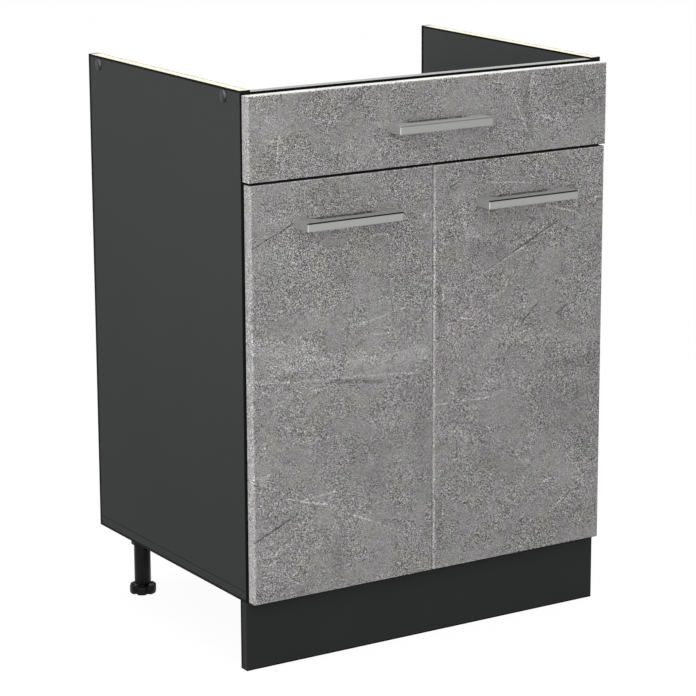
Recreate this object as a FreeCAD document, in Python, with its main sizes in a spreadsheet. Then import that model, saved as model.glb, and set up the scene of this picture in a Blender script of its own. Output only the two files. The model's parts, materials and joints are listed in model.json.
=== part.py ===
# Kitchen base cabinet for a sink: a 600 mm carcass on levelling feet, with a fixed false front above two doors.
# Frame: X to the right, Y to the back, Z up. The origin is on the floor, under the middle of the whole cabinet.

import FreeCAD
import Part
import math
import os
import Sketcher
import types

# Driving dimensions in millimetres, one cell of the sheet each
SIZES = {
    # carcass of faced chipboard
    "cabinet_width": 600.0,
    "carcass_depth": 440.0,
    "carcass_height": 718.0,
    "board": 16.0,
    "edge_band": 1.0,
    "clear_under": 102.0,
    "front_rail_height": 140.0,
    "front_rail_drop": 2.5,
    "rear_rail_height": 100.0,
    "rear_rail_drop": 100.0,
    "bore_fit": 0.05,
    "bore_end_gap": 0.5,
    # fronts
    "front_board": 16.0,
    "front_gap": 2.0,
    "false_front_height": 118.0,
    "false_front_drop": 6.0,
    "false_front_reveal": 1.5,
    "door_reveal": 3.5,
    "front_seam": 3.0,
    "door_seam": 3.0,
    "front_arris": 0.6,
    # strap handles
    "handle_length": 154.0,
    "handle_projection": 33.0,
    "handle_height": 12.5,
    "handle_bar": 18.0,
    "handle_leg": 23.0,
    "handle_inner_round": 12.0,
    "handle_arris": 0.7,
    "handle_spacing": 128.0,
    "handle_bore_depth": 14.0,
    "door_handle_drop": 59.0,
    "false_handle_drop": 61.0,
    "handle_access": 7.0,
    # screws
    "machine_shank": 1.95,
    "machine_head": 4.0,
    "machine_head_height": 1.9,
    "machine_screw_reach": 12.0,
    "wood_shank": 1.75,
    "wood_head": 3.4,
    "wood_head_height": 1.5,
    "wood_screw_length": 14.0,
    "screw_clearance": 0.4,
    "front_screw_length": 28.0,
    "front_screw_inset": 58.0,
    "front_screw_rise": 28.0,
    "spacer_radius": 7.0,
    "carcass_shank": 2.5,
    "carcass_head": 5.0,
    "carcass_head_height": 3.0,
    "carcass_screw_length": 47.0,
    "carcass_screw_inset": 60.0,
    # dowels, cam locks and cam bolts of the two rails
    "dowel_radius": 4.0,
    "dowel_in_side": 10.0,
    "dowel_in_rail": 24.0,
    "dowel_spread": 32.0,
    "cam_radius": 7.5,
    "cam_depth": 12.5,
    "cam_inset": 34.0,
    "cam_slot": 0.8,
    "cam_slot_depth": 2.0,
    "cam_mouth": 3.9,
    "cam_bolt_radius": 3.5,
    "cam_bolt_thread": 2.45,
    "cam_bolt_in_side": 11.0,
    # cover caps over the joining bores near the top of the sides
    "cap_radius": 9.0,
    "cap_height": 2.4,
    "cap_rim": 0.7,
    "cap_peg": 2.45,
    "cap_peg_length": 12.0,
    "cap_drop": 12.5,
    "cap_front_inset": 45.0,
    "cap_rear_inset": 31.0,
    # levelling feet
    "foot_side_inset": 44.0,
    "foot_rear_inset": 50.0,
    "foot_front_inset": 42.0,
    "socket_plate": 3.0,
    "socket_half": 25.0,
    "socket_round": 6.0,
    "socket_collar": 16.5,
    "socket_collar_height": 21.0,
    "socket_screw_inset": 6.0,
    "tube_radius": 12.5,
    "tube_wall": 2.0,
    "tube_plug": 12.0,
    "tube_top_gap": 1.0,
    "foot_radius": 20.0,
    "foot_thickness": 13.0,
    "foot_round": 1.5,
    "foot_retract": 2.0,
    "stem_radius": 6.0,
    "stem_length": 40.0,
    "scallop_radius": 3.4,
    "scallop_across": 17.9,
    "scallop_along": 8.4,
    # plinth
    "plinth_height": 100.0,
    "plinth_floor_gap": 1.5,
    "clip_plate": 3.0,
    "clip_half_width": 22.0,
    "clip_height": 18.0,
    "clip_wall": 2.6,
    "clip_gap": 0.2,
    "clip_mouth": 9.5,
    "clip_web": 3.0,
    "clip_screw_inset": 6.0,
    # cup hinges, measured from the side's outer face, the carcass front and the middle of each hinge
    "hinge_inset": 100.0,
    "cup_radius": 17.5,
    "cup_edge_distance": 3.5,
    "cup_depth": 12.6,
    "cup_wall": 1.0,
    "cup_floor": 0.8,
    "cup_pocket_depth": 13.2,
    "cup_notch_depth": 4.8,
    "flange_thickness": 1.2,
    "flange_half_height": 31.0,
    "flange_inner": 10.5,
    "flange_outer": 8.0,
    "flange_round": 3.0,
    "cup_screw_half": 24.0,
    "plate_line": 37.0,
    "plate_thickness": 1.8,
    "plate_half_height": 24.0,
    "plate_half_width": 7.0,
    "plate_screw_half": 16.0,
    "plate_block_front": 22.0,
    "plate_block_rear": 56.0,
    "plate_screw_shank": 2.4,
    "plate_screw_head": 4.4,
    "plate_screw_head_height": 1.6,
    "arm_rear": 60.0,
    "arm_foot": 2.4,
    "arm_rear_rise": 13.0,
    "arm_step_front": 30.0,
    "arm_step_rear": 42.0,
    "arm_rise": 24.4,
    "arm_sheet": 1.2,
    "arm_web_front": 8.0,
    "arm_nose": 3.2,
    "arm_throat": 12.0,
    "arm_screw_back": 50.0,
    "arm_screw_length": 9.0,
    "arm_screw_head": 3.4,
    "arm_screw_head_height": 1.4,
    "pivot_pin": 0.8,
    "pivot_fit": 0.06,
    "link_half_width": 2.1,
    "outer_link_eye": 2.2,
    "inner_link_half": 3.0,
    "outer_link_sheet": 1.2,
    "link_side_gap": 0.3,
    "open_eye_bore": 2.8,
    "open_eye_radius": 3.9,
    "outer_pivot_rise": 20.0,
    "outer_pivot_back": 14.7,
    "inner_pivot_rise": 19.9,
    "inner_pivot_back": 2.3,
    "cup_pivot_inset": 8.0,
    "cup_outer_pivot_depth": 2.8,
    "cup_inner_pivot_depth": 8.95,
    "outer_knee_rise": 3.1,
    "outer_knee_front": 4.2,
    "inner_knee_rise": 10.6,
    "inner_knee_front": 11.0,
    # soft bumpers behind the free corners of the doors
    "bumper_radius": 4.0,
    "bumper_round": 0.8,
    "bumper_gap": 0.3,
    "bumper_inset": 9.0,
    # how far a cut runs past the face it leaves
    "overrun": 2.0,
}

PLANES = {"X": "YZ_Plane", "Y": "XZ_Plane", "Z": "XY_Plane"}
PLANE_NORMAL = {"X": 1, "Y": -1, "Z": 1}
SCALLOPS = 6
BOTH_WAYS = (-1, 1)


class Size:
    """A length that knows its value and the expression that gives it from the sheet."""

    def __init__(self, value, text):
        self.value = value
        self.text = text

    def _join(self, other, mark, value):
        text = other.text if isinstance(other, Size) else repr(other)
        return Size(value, "(%s %s %s)" % (self.text, mark, text))

    def __add__(self, other):
        return self if other == 0 else self._join(other, "+", self.value + number(other))

    def __sub__(self, other):
        return self if other == 0 else self._join(other, "-", self.value - number(other))

    def __mul__(self, other):
        return self if other == 1 else self._join(other, "*", self.value * number(other))

    def __truediv__(self, other):
        return self._join(other, "/", self.value / number(other))

    def __radd__(self, other):
        return self + other

    def __rmul__(self, other):
        return self * other

    def __rsub__(self, other):
        return -self + other

    def __neg__(self):
        return Size(-self.value, "(-%s)" % self.text)


def number(entry):
    """The plain value of a size or of a bare zero."""
    return entry.value if isinstance(entry, Size) else float(entry)


def root_of(entry):
    """The square root of a size, as a size."""
    return Size(math.sqrt(entry.value), "sqrt(%s)" % entry.text)


doc = FreeCAD.newDocument("KitchenBaseCabinet")
sheet = doc.addObject("Spreadsheet::Sheet", "sizes")
for row, (alias, amount) in enumerate(SIZES.items(), start=1):
    sheet.set("A%d" % row, alias)
    sheet.set("B%d" % row, repr(amount))
    sheet.setAlias("B%d" % row, alias)
doc.recompute()
mm = types.SimpleNamespace(**{alias: Size(amount, "sizes." + alias) for alias, amount in SIZES.items()})
nodes = {}
sketch_axis = {}
UP = FreeCAD.Vector(0, 0, 1)
FULL_TURN = 360
NEAR_SHARE = 0.000001


def new_body(name, kept=True):
    """A body of its own; a kept one is written out as a node."""
    body = doc.addObject("PartDesign::Body", name)
    body.Label = name
    if kept:
        nodes[name] = body
    return body


def new_sketch(body, axis, at, origin=(0, 0)):
    """A sketch square to an axis, at a place along it, with its own origin moved in its plane."""
    sketch = body.newObject("Sketcher::SketchObject", "sketch")
    planes = [item for item in body.Origin.OriginFeatures if item.Role == PLANES[axis]]
    sketch.AttachmentSupport = (planes[0], [""])
    sketch.MapMode = "FlatFace"
    lift = at if PLANE_NORMAL[axis] > 0 else -at
    for letter, value in zip("xyz", (origin[0], origin[1], lift)):
        if isinstance(value, Size):
            sketch.setExpression(".AttachmentOffset.Base." + letter, value.text)
    sketch_axis[sketch.Name] = axis
    return sketch


def bind(sketch, constraint, entry):
    """Adds a constraint whose value follows the sheet."""
    index = sketch.addConstraint(constraint)
    sketch.setExpression("Constraints[%d]" % index, entry.text)


def hold(sketch, item, vertex, place):
    """Holds a vertex at two sizes from the sketch's origin, or on its axis where one is zero."""
    for kind, axis_line, value in (("DistanceX", -2, place[0]), ("DistanceY", -1, place[1])):
        if isinstance(value, Size):
            bind(sketch, Sketcher.Constraint(kind, -1, 1, item, vertex, value.value), value)
        else:
            sketch.addConstraint(Sketcher.Constraint("PointOnObject", item, vertex, axis_line))


def point(place):
    """A place given by sizes, as a vector in the sketch's plane."""
    return FreeCAD.Vector(number(place[0]), number(place[1]), 0)


def draw_circle(sketch, place, radius):
    """A circle with a held centre."""
    item = sketch.addGeometry(Part.Circle(point(place), UP, radius.value))
    bind(sketch, Sketcher.Constraint("Radius", item, radius.value), radius)
    hold(sketch, item, 3, place)


def draw_outline(sketch, corners, arcs=None):
    """A closed outline; arcs gives the radius of each side that bulges out, by its first corner."""
    arcs = arcs or {}
    items = []
    for index, corner in enumerate(corners):
        start = point(corner)
        end = point(corners[(index + 1) % len(corners)])
        if index in arcs:
            chord = end - start
            inward = FreeCAD.Vector(-chord.y, chord.x, 0).normalize()
            reach = math.sqrt(arcs[index].value ** 2 - (chord.Length / 2) ** 2)
            circle = Part.Circle((start + end) / 2 + inward * reach, UP, arcs[index].value)
            first = circle.parameter(start)
            last = circle.parameter(end)
            if last < first:
                last += 2 * math.pi
            items.append(sketch.addGeometry(Part.ArcOfCircle(circle, first, last)))
            bind(sketch, Sketcher.Constraint("Radius", items[-1], arcs[index].value), arcs[index])
        else:
            items.append(sketch.addGeometry(Part.LineSegment(start, end)))
    for index, item in enumerate(items):
        sketch.addConstraint(Sketcher.Constraint("Coincident", item, 2, items[(index + 1) % len(items)], 1))
        hold(sketch, item, 1, corners[index])


def draw_box(sketch, across, along):
    """A rectangle between two pairs of sizes."""
    corners = [(across[0], along[0]), (across[1], along[0]), (across[1], along[1]), (across[0], along[1])]
    draw_outline(sketch, corners)


def draw_strap(sketch, ends, radii):
    """The outline round two circles, closed by their outer tangents."""
    centres = [point(place) for place in ends]
    run = centres[1] - centres[0]
    heading = math.atan2(run.y, run.x)
    spread = math.acos((radii[0].value - radii[1].value) / run.Length)
    angles = (heading + spread, heading - spread)
    touch = [[centre + FreeCAD.Vector(math.cos(angle), math.sin(angle), 0) * radius.value
              for angle in angles] for centre, radius in zip(centres, radii)]
    near = Part.ArcOfCircle(Part.Circle(centres[0], UP, radii[0].value), angles[0], angles[1] + 2 * math.pi)
    far = Part.ArcOfCircle(Part.Circle(centres[1], UP, radii[1].value), angles[1], angles[0])
    near_item = sketch.addGeometry(near)
    far_item = sketch.addGeometry(far)
    upper = sketch.addGeometry(Part.LineSegment(touch[0][0], touch[1][0]))
    lower = sketch.addGeometry(Part.LineSegment(touch[1][1], touch[0][1]))
    for arc, arc_end, line, line_end in ((near_item, 1, upper, 1), (far_item, 2, upper, 2),
                                         (far_item, 1, lower, 1), (near_item, 2, lower, 2)):
        sketch.addConstraint(Sketcher.Constraint("Tangent", arc, arc_end, line, line_end))
    for arc, place, radius in zip((near_item, far_item), ends, radii):
        bind(sketch, Sketcher.Constraint("Radius", arc, radius.value), radius)
        hold(sketch, arc, 3, place)


def finish_feature(body, feature, before, grows):
    """Recomputes and makes sure that the feature added or took away material."""
    doc.recompute()
    after = body.Shape.Volume if body.Shape.Solids else 0
    change = after - before if grows else before - after
    if change <= NEAR_SHARE * max(before, after):
        raise RuntimeError("%s of %s changes nothing" % (feature.Name, body.Label))


def extrude(kind, body, sketch, length, toward):
    """A pad or pocket toward the plus or minus side of the sketch's axis, or to both sides."""
    before = body.Shape.Volume if body.Tip and body.Shape.Solids else 0
    feature = body.newObject("PartDesign::" + kind, kind.lower())
    feature.Profile = sketch
    feature.setExpression("Length", length.text)
    own_way = PLANE_NORMAL[sketch_axis[sketch.Name]] * (1 if kind == "Pad" else -1)
    if toward:
        feature.Reversed = toward != own_way
    else:
        feature.SideType = "Symmetric"
    finish_feature(body, feature, before, kind == "Pad")
    return feature


def pad(body, sketch, length, toward):
    """Adds a sketch's outline as material."""
    return extrude("Pad", body, sketch, length, toward)


def cut(body, sketch, depth, toward):
    """Cuts a sketch's outline away."""
    return extrude("Pocket", body, sketch, depth, toward)


def block(name, width, depth, height, kept=True):
    """A board between three pairs of sizes."""
    body = new_body(name, kept)
    sketch = new_sketch(body, "Z", height[0])
    draw_box(sketch, width, depth)
    pad(body, sketch, height[1] - height[0], 1)
    return body


def bore(body, axis, at, centres, radius, depth, toward):
    """Round bores of one size, all from one face."""
    sketch = new_sketch(body, axis, at)
    for place in centres:
        draw_circle(sketch, place, radius)
    return cut(body, sketch, depth, toward)


def turn(body, axis, place, profile, arcs=None):
    """A turned solid about a line along an axis; the profile's corners are (along, radius)."""
    if axis == "Y":
        sketch = new_sketch(body, "X", place[0], (place[1], place[2]))
    else:
        sketch = new_sketch(body, "Y", place[1], (place[0], place[2]))
    if axis == "Z":
        profile = [(radius, along) for along, radius in profile]
    draw_outline(sketch, profile, arcs)
    feature = body.newObject("PartDesign::Revolution", "revolution")
    feature.Profile = sketch
    feature.ReferenceAxis = (sketch, ["V_Axis" if axis == "Z" else "H_Axis"])
    feature.Angle = FULL_TURN
    finish_feature(body, feature, 0, True)
    return feature


def screw(name, axis, place, toward, shank, length, head, head_height):
    """A screw whose head seats at a place and whose shank runs toward one side."""
    body = new_body(name, kept=False)
    tip = length * toward
    head_top = head_height * -toward
    turn(body, axis, place, [(head_top, 0), (tip, 0), (tip, shank), (0, shank), (0, head), (head_top, head)])
    return body


def dress(body, kind, amount, wanted):
    """Rounds or bevels the edges of the body that a test picks."""
    base = body.Tip
    names = ["Edge%d" % (index + 1) for index, edge in enumerate(base.Shape.Edges) if wanted(edge)]
    if not names:
        raise RuntimeError("no edge picked on " + body.Label)
    feature = body.newObject("PartDesign::" + kind, kind.lower())
    feature.Base = (base, names)
    feature.setExpression("Radius" if kind == "Fillet" else "Size", amount.text)
    doc.recompute()
    return feature


def level(edge, letter, value):
    """True where an edge lies flat in the plane square to an axis at a value."""
    low = getattr(edge.BoundBox, letter + "Min")
    high = getattr(edge.BoundBox, letter + "Max")
    slack = NEAR_SHARE * SIZES["cabinet_width"]
    return abs(low - value.value) < slack and abs(high - value.value) < slack


def runs_along(edge, letter):
    """True where an edge is straight along an axis."""
    return edge.BoundBox.DiagonalLength - getattr(edge.BoundBox, letter + "Length") < NEAR_SHARE * edge.Length


def copies(name, master, shifts, kept=True):
    """Copies of one piece as separate solids in one node, each shifted by three sizes."""
    links = []
    for shift in shifts:
        link = doc.addObject("App::Link", name + "_link")
        link.LinkedObject = master
        for letter, value in zip("xyz", shift):
            if isinstance(value, Size):
                link.setExpression(".LinkPlacement.Base." + letter, value.text)
        links.append(link)
    return grouped(name, links, kept)


def grouped(name, pieces, kept=True):
    """Several pieces as separate solids of one node."""
    group = doc.addObject("Part::Compound", name)
    group.Label = name
    group.Links = pieces
    doc.recompute()
    if kept:
        nodes[name] = group
    return group


def mirrored(name, source, kept=True):
    """The same piece on the other side of the middle plane."""
    twin = doc.addObject("Part::Mirroring", name)
    twin.Label = name
    twin.Source = source
    twin.Normal = FreeCAD.Vector(1, 0, 0)
    doc.recompute()
    if kept:
        nodes[name] = twin
    return twin


def both_sides(name, source):
    """A left-hand piece and its mirror image as one node."""
    return grouped(name, [source, mirrored(name + "_twin", source, kept=False)])


# Planes and levels that the pieces share
half_width = mm.cabinet_width / 2
inner = half_width - mm.board
rear = (mm.carcass_depth + mm.front_gap + mm.front_board + mm.handle_projection) / 2
front = rear - mm.carcass_depth
board_front = front + mm.edge_band
front_rear = front - mm.front_gap
front_face = front_rear - mm.front_board
bottom = mm.clear_under
floor_top = bottom + mm.board
top = bottom + mm.carcass_height
false_top = top - mm.false_front_drop
false_bottom = false_top - mm.false_front_height
door_top = false_bottom - mm.front_seam
door_outer = half_width - mm.door_reveal
door_inner = mm.door_seam / 2
door_middle = (door_outer + door_inner) / 2
false_half = half_width - mm.false_front_reveal
front_rail_top = top - mm.front_rail_drop
front_rail_bottom = front_rail_top - mm.front_rail_height
rear_rail_top = top - mm.rear_rail_drop
rear_rail_bottom = rear_rail_top - mm.rear_rail_height
hinge_low = bottom + mm.hinge_inset
hinge_high = door_top - mm.hinge_inset
hinge_span = hinge_high - hinge_low
foot_x = half_width - mm.foot_side_inset
foot_rear = rear - mm.foot_rear_inset
foot_front = front + mm.foot_front_inset
handle_half = mm.handle_spacing / 2
door_handle_z = door_top - mm.door_handle_drop
false_handle_z = false_top - mm.false_handle_drop
NO_SHIFT = (0, 0, 0)

# Rails: the middle of each board's thickness and height, where its dowels and cam bolts run
rail_middles = [
    (front + mm.board / 2, (front_rail_top + front_rail_bottom) / 2),
    (rear - mm.board / 2, (rear_rail_top + rear_rail_bottom) / 2),
]
dowel_rows = [(y, z + mm.dowel_spread * way) for y, z in rail_middles for way in BOTH_WAYS]
carcass_screw_rows = [front + mm.carcass_screw_inset, (front + rear) / 2, rear - mm.carcass_screw_inset]
carcass_screw_x = half_width - mm.board / 2
carcass_screw_seat = bottom + mm.carcass_head_height
cap_places = [(front + mm.cap_front_inset, top - mm.cap_drop), (rear - mm.cap_rear_inset, top - mm.cap_drop)]
plate_screw_places = [(front + mm.plate_line, z + mm.plate_screw_half * way)
                      for z in (hinge_low, hinge_high) for way in BOTH_WAYS]


def make_side():
    """The left side panel, with the bores of everything that it carries."""
    side = block("left_side_panel", (-half_width, -inner), (board_front, rear), (floor_top, top))
    plate_reach = mm.wood_screw_length - mm.plate_thickness + mm.bore_end_gap
    bore(side, "X", -inner, plate_screw_places, mm.plate_screw_shank + mm.bore_fit, plate_reach, -1)
    bore(side, "X", -half_width, cap_places, mm.cap_peg + mm.bore_fit, mm.cap_peg_length + mm.bore_end_gap, 1)
    bore(side, "X", -inner, dowel_rows, mm.dowel_radius + mm.bore_fit, mm.dowel_in_side + mm.bore_end_gap, -1)
    bolt_reach = mm.cam_bolt_in_side + mm.bore_end_gap
    bore(side, "X", -inner, rail_middles, mm.cam_bolt_thread + mm.bore_fit, bolt_reach, -1)
    screw_reach = carcass_screw_seat + mm.carcass_screw_length - floor_top + mm.bore_end_gap
    rows = [(-carcass_screw_x, y) for y in carcass_screw_rows]
    bore(side, "Z", floor_top, rows, mm.carcass_shank + mm.bore_fit, screw_reach, 1)
    mirrored("right_side_panel", side)


def make_bottom():
    """The bottom panel, full width, screwed up into the sides and carrying the feet."""
    panel = block("bottom_panel", (-half_width, half_width), (board_front, rear), (bottom, floor_top))
    rows = [(carcass_screw_x * way, y) for way in BOTH_WAYS for y in carcass_screw_rows]
    bore(panel, "Z", bottom, rows, mm.carcass_shank + mm.bore_fit, mm.board, 1)
    bore(panel, "Z", bottom, rows, mm.carcass_head + mm.bore_fit, mm.carcass_head_height, 1)
    socket_reach = mm.wood_screw_length - mm.socket_plate + mm.bore_end_gap
    corner = mm.socket_half - mm.socket_screw_inset
    places = [(foot_x * side + corner * east, y + corner * north)
              for side in BOTH_WAYS for y in (foot_front, foot_rear)
              for east in BOTH_WAYS for north in BOTH_WAYS]
    bore(panel, "Z", bottom, places, mm.wood_shank + mm.bore_fit, socket_reach, 1)


def make_bands():
    """Edge bands on the front edges of both sides and of the bottom panel."""
    side_band = block("side_band", (-half_width, -inner), (front, board_front), (floor_top, top), kept=False)
    other_band = mirrored("other_side_band", side_band, kept=False)
    bottom_band = block("bottom_band", (-half_width, half_width), (front, board_front), (bottom, floor_top),
                        kept=False)
    grouped("edge_bands", [side_band, other_band, bottom_band])


def make_rail(name, depth, height, middle):
    """A rail standing between the sides, with its end bores and its two cam bores from behind."""
    rail = block(name, (-inner, inner), depth, height)
    dowel_places = [(middle[0], middle[1] + mm.dowel_spread * way) for way in BOTH_WAYS]
    for end in BOTH_WAYS:
        reach = mm.dowel_in_rail + mm.bore_end_gap
        bore(rail, "X", inner * end, dowel_places, mm.dowel_radius + mm.bore_fit, reach, -end)
        bore(rail, "X", inner * end, [middle], mm.cam_mouth, mm.cam_inset, -end)
    cams = [((inner - mm.cam_inset) * end, middle[1]) for end in BOTH_WAYS]
    bore(rail, "Y", depth[1], cams, mm.cam_radius + mm.bore_fit, mm.cam_depth + mm.bore_end_gap, -1)
    return rail


def make_rails():
    """The front rail that carries the false front, and the rear rail."""
    heights = (front_rail_bottom, front_rail_top)
    rail = make_rail("front_rail", (front, front + mm.board), heights, rail_middles[0])
    holes = [(handle_half * way, false_handle_z) for way in BOTH_WAYS]
    bore(rail, "Y", front, holes, mm.handle_access, mm.board, 1)
    bore(rail, "Y", front, false_screw_places, mm.wood_shank + mm.screw_clearance, mm.board, 1)
    heights = (rear_rail_bottom, rear_rail_top)
    make_rail("rear_rail", (rear - mm.board, rear), heights, rail_middles[1])


def make_rail_fittings():
    """Dowels, cam locks and cam bolts at both ends of both rails."""
    y, z = rail_middles[0]
    to_rear = (0, rail_middles[1][0] - y, rail_middles[1][1] - z)
    dowel = new_body("dowel", kept=False)
    low = (-inner - mm.dowel_in_side, y, z - mm.dowel_spread)
    length = mm.dowel_in_side + mm.dowel_in_rail
    turn(dowel, "X", low, [(0, 0), (length, 0), (length, mm.dowel_radius), (0, mm.dowel_radius)])
    up = mm.dowel_spread * 2
    shifts = [NO_SHIFT, (0, 0, up), to_rear, (0, to_rear[1], to_rear[2] + up)]
    both_sides("rail_dowels", copies("left_dowels", dowel, shifts, kept=False))

    cam_x = -inner + mm.cam_inset
    cam_back = front + mm.board
    cam = new_body("cam", kept=False)
    sketch = new_sketch(cam, "Y", cam_back)
    draw_circle(sketch, (cam_x, z), mm.cam_radius)
    pad(cam, sketch, mm.cam_depth, -1)
    bore(cam, "X", cam_x, [(y, z)], mm.cam_bolt_radius + mm.bore_fit, mm.cam_radius + mm.overrun, -1)
    arm = mm.cam_radius / 2
    for half in ((arm, mm.cam_slot), (mm.cam_slot, arm)):
        slot = new_sketch(cam, "Y", cam_back)
        draw_box(slot, (cam_x - half[0], cam_x + half[0]), (z - half[1], z + half[1]))
        cut(cam, slot, mm.cam_slot_depth, -1)
    both_sides("cam_locks", copies("left_cams", cam, [NO_SHIFT, to_rear], kept=False))

    bolt = new_body("bolt", kept=False)
    thread_end = -mm.cam_bolt_in_side
    profile = [(thread_end, 0), (mm.cam_inset, 0), (mm.cam_inset, mm.cam_bolt_radius),
               (0, mm.cam_bolt_radius), (0, mm.cam_bolt_thread), (thread_end, mm.cam_bolt_thread)]
    turn(bolt, "X", (-inner, y, z), profile)
    both_sides("cam_bolts", copies("left_bolts", bolt, [NO_SHIFT, to_rear], kept=False))


def make_carcass_screws():
    """Screws driven up through the bottom panel into both sides."""
    first = carcass_screw_rows[0]
    master = screw("carcass_screw", "Z", (-carcass_screw_x, first, carcass_screw_seat), 1,
                   mm.carcass_shank, mm.carcass_screw_length, mm.carcass_head, mm.carcass_head_height)
    shifts = [(0, y - first, 0) if y is not first else NO_SHIFT for y in carcass_screw_rows]
    both_sides("carcass_screws", copies("left_carcass_screws", master, shifts, kept=False))


def make_caps():
    """Domed cover caps whose pegs sit in the joining bores of the sides."""
    cap = new_body("cap", kept=False)
    y, z = cap_places[0]
    rise = mm.cap_height - mm.cap_rim
    dome = (mm.cap_radius * mm.cap_radius + rise * rise) / (rise * 2)
    profile = [(-mm.cap_height, 0), (mm.cap_peg_length, 0), (mm.cap_peg_length, mm.cap_peg),
               (0, mm.cap_peg), (0, mm.cap_radius), (-mm.cap_rim, mm.cap_radius)]
    turn(cap, "X", (-half_width, y, z), profile, {len(profile) - 1: dome})
    shifts = [NO_SHIFT, (0, cap_places[1][0] - y, 0)]
    both_sides("cover_caps", copies("left_caps", cap, shifts, kept=False))


false_screw_x = inner - mm.front_screw_inset
false_middle_z = (false_top + false_bottom) / 2
false_screw_places = [(false_screw_x * side, false_middle_z + mm.front_screw_rise * way)
                      for side in BOTH_WAYS for way in BOTH_WAYS]


def bevel_front(body):
    """A small arris round the face that looks forward."""
    dress(body, "Chamfer", mm.front_arris, lambda edge: level(edge, "Y", front_face))


def make_handle(name, x, z):
    """A strap handle: a bar on two legs, cut from one block, with rounded inner corners."""
    body = new_body(name)
    half = mm.handle_length / 2
    gap = half - mm.handle_leg
    outer_face = front_face - mm.handle_projection
    bar_rear = outer_face + mm.handle_bar
    sketch = new_sketch(body, "Z", z)
    draw_outline(sketch, [(x - half, front_face), (x - half, outer_face), (x + half, outer_face),
                          (x + half, front_face), (x + gap, front_face), (x + gap, bar_rear),
                          (x - gap, bar_rear), (x - gap, front_face)])
    pad(body, sketch, mm.handle_height, 0)
    dress(body, "Fillet", mm.handle_inner_round, lambda edge: runs_along(edge, "Z")
          and level(edge, "Y", bar_rear))
    roof = z + mm.handle_height / 2
    under = z - mm.handle_height / 2
    dress(body, "Chamfer", mm.handle_arris, lambda edge: not level(edge, "Y", front_face)
          and (level(edge, "Z", roof) or level(edge, "Z", under) or level(edge, "Y", outer_face)))
    places = [(x + handle_half * way, z) for way in BOTH_WAYS]
    bore(body, "Y", front_face, places, mm.machine_shank + mm.bore_fit, mm.handle_bore_depth, -1)
    return body


def make_handle_screws(name, x, z):
    """The two screws that hold a handle from behind its front."""
    length = mm.front_board + mm.machine_screw_reach
    master = screw(name + "_master", "Y", (x - handle_half, front_rear, z), -1, mm.machine_shank, length,
                   mm.machine_head, mm.machine_head_height)
    return copies(name, master, [NO_SHIFT, (mm.handle_spacing, 0, 0)])


def make_false_front():
    """The fixed front above the doors, its handle, and the screws and spacers that hold it to the rail."""
    board = block("false_front", (-false_half, false_half), (front_face, front_rear), (false_bottom, false_top))
    bevel_front(board)
    holes = [(handle_half * way, false_handle_z) for way in BOTH_WAYS]
    bore(board, "Y", front_rear, holes, mm.machine_shank + mm.screw_clearance, mm.front_board, -1)
    reach = mm.front_screw_length - mm.board - mm.front_gap + mm.bore_end_gap
    bore(board, "Y", front_rear, false_screw_places, mm.wood_shank + mm.bore_fit, reach, -1)
    make_handle("false_front_handle", 0, false_handle_z)
    make_handle_screws("false_front_handle_screws", 0, false_handle_z)

    x, z = false_screw_places[0]
    shifts = [NO_SHIFT, (0, 0, mm.front_screw_rise * 2), (false_screw_x * 2, 0, 0),
              (false_screw_x * 2, 0, mm.front_screw_rise * 2)]
    master = screw("false_front_screw", "Y", (x, front + mm.board, z), -1, mm.wood_shank,
                   mm.front_screw_length, mm.wood_head, mm.wood_head_height)
    copies("false_front_screws", master, shifts)
    spacer = new_body("spacer", kept=False)
    hole = mm.wood_shank + mm.screw_clearance
    turn(spacer, "Y", (x, front, z), [(-mm.front_gap, hole), (0, hole), (0, mm.spacer_radius),
                                      (-mm.front_gap, mm.spacer_radius)])
    copies("false_front_spacers", spacer, shifts)


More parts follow.
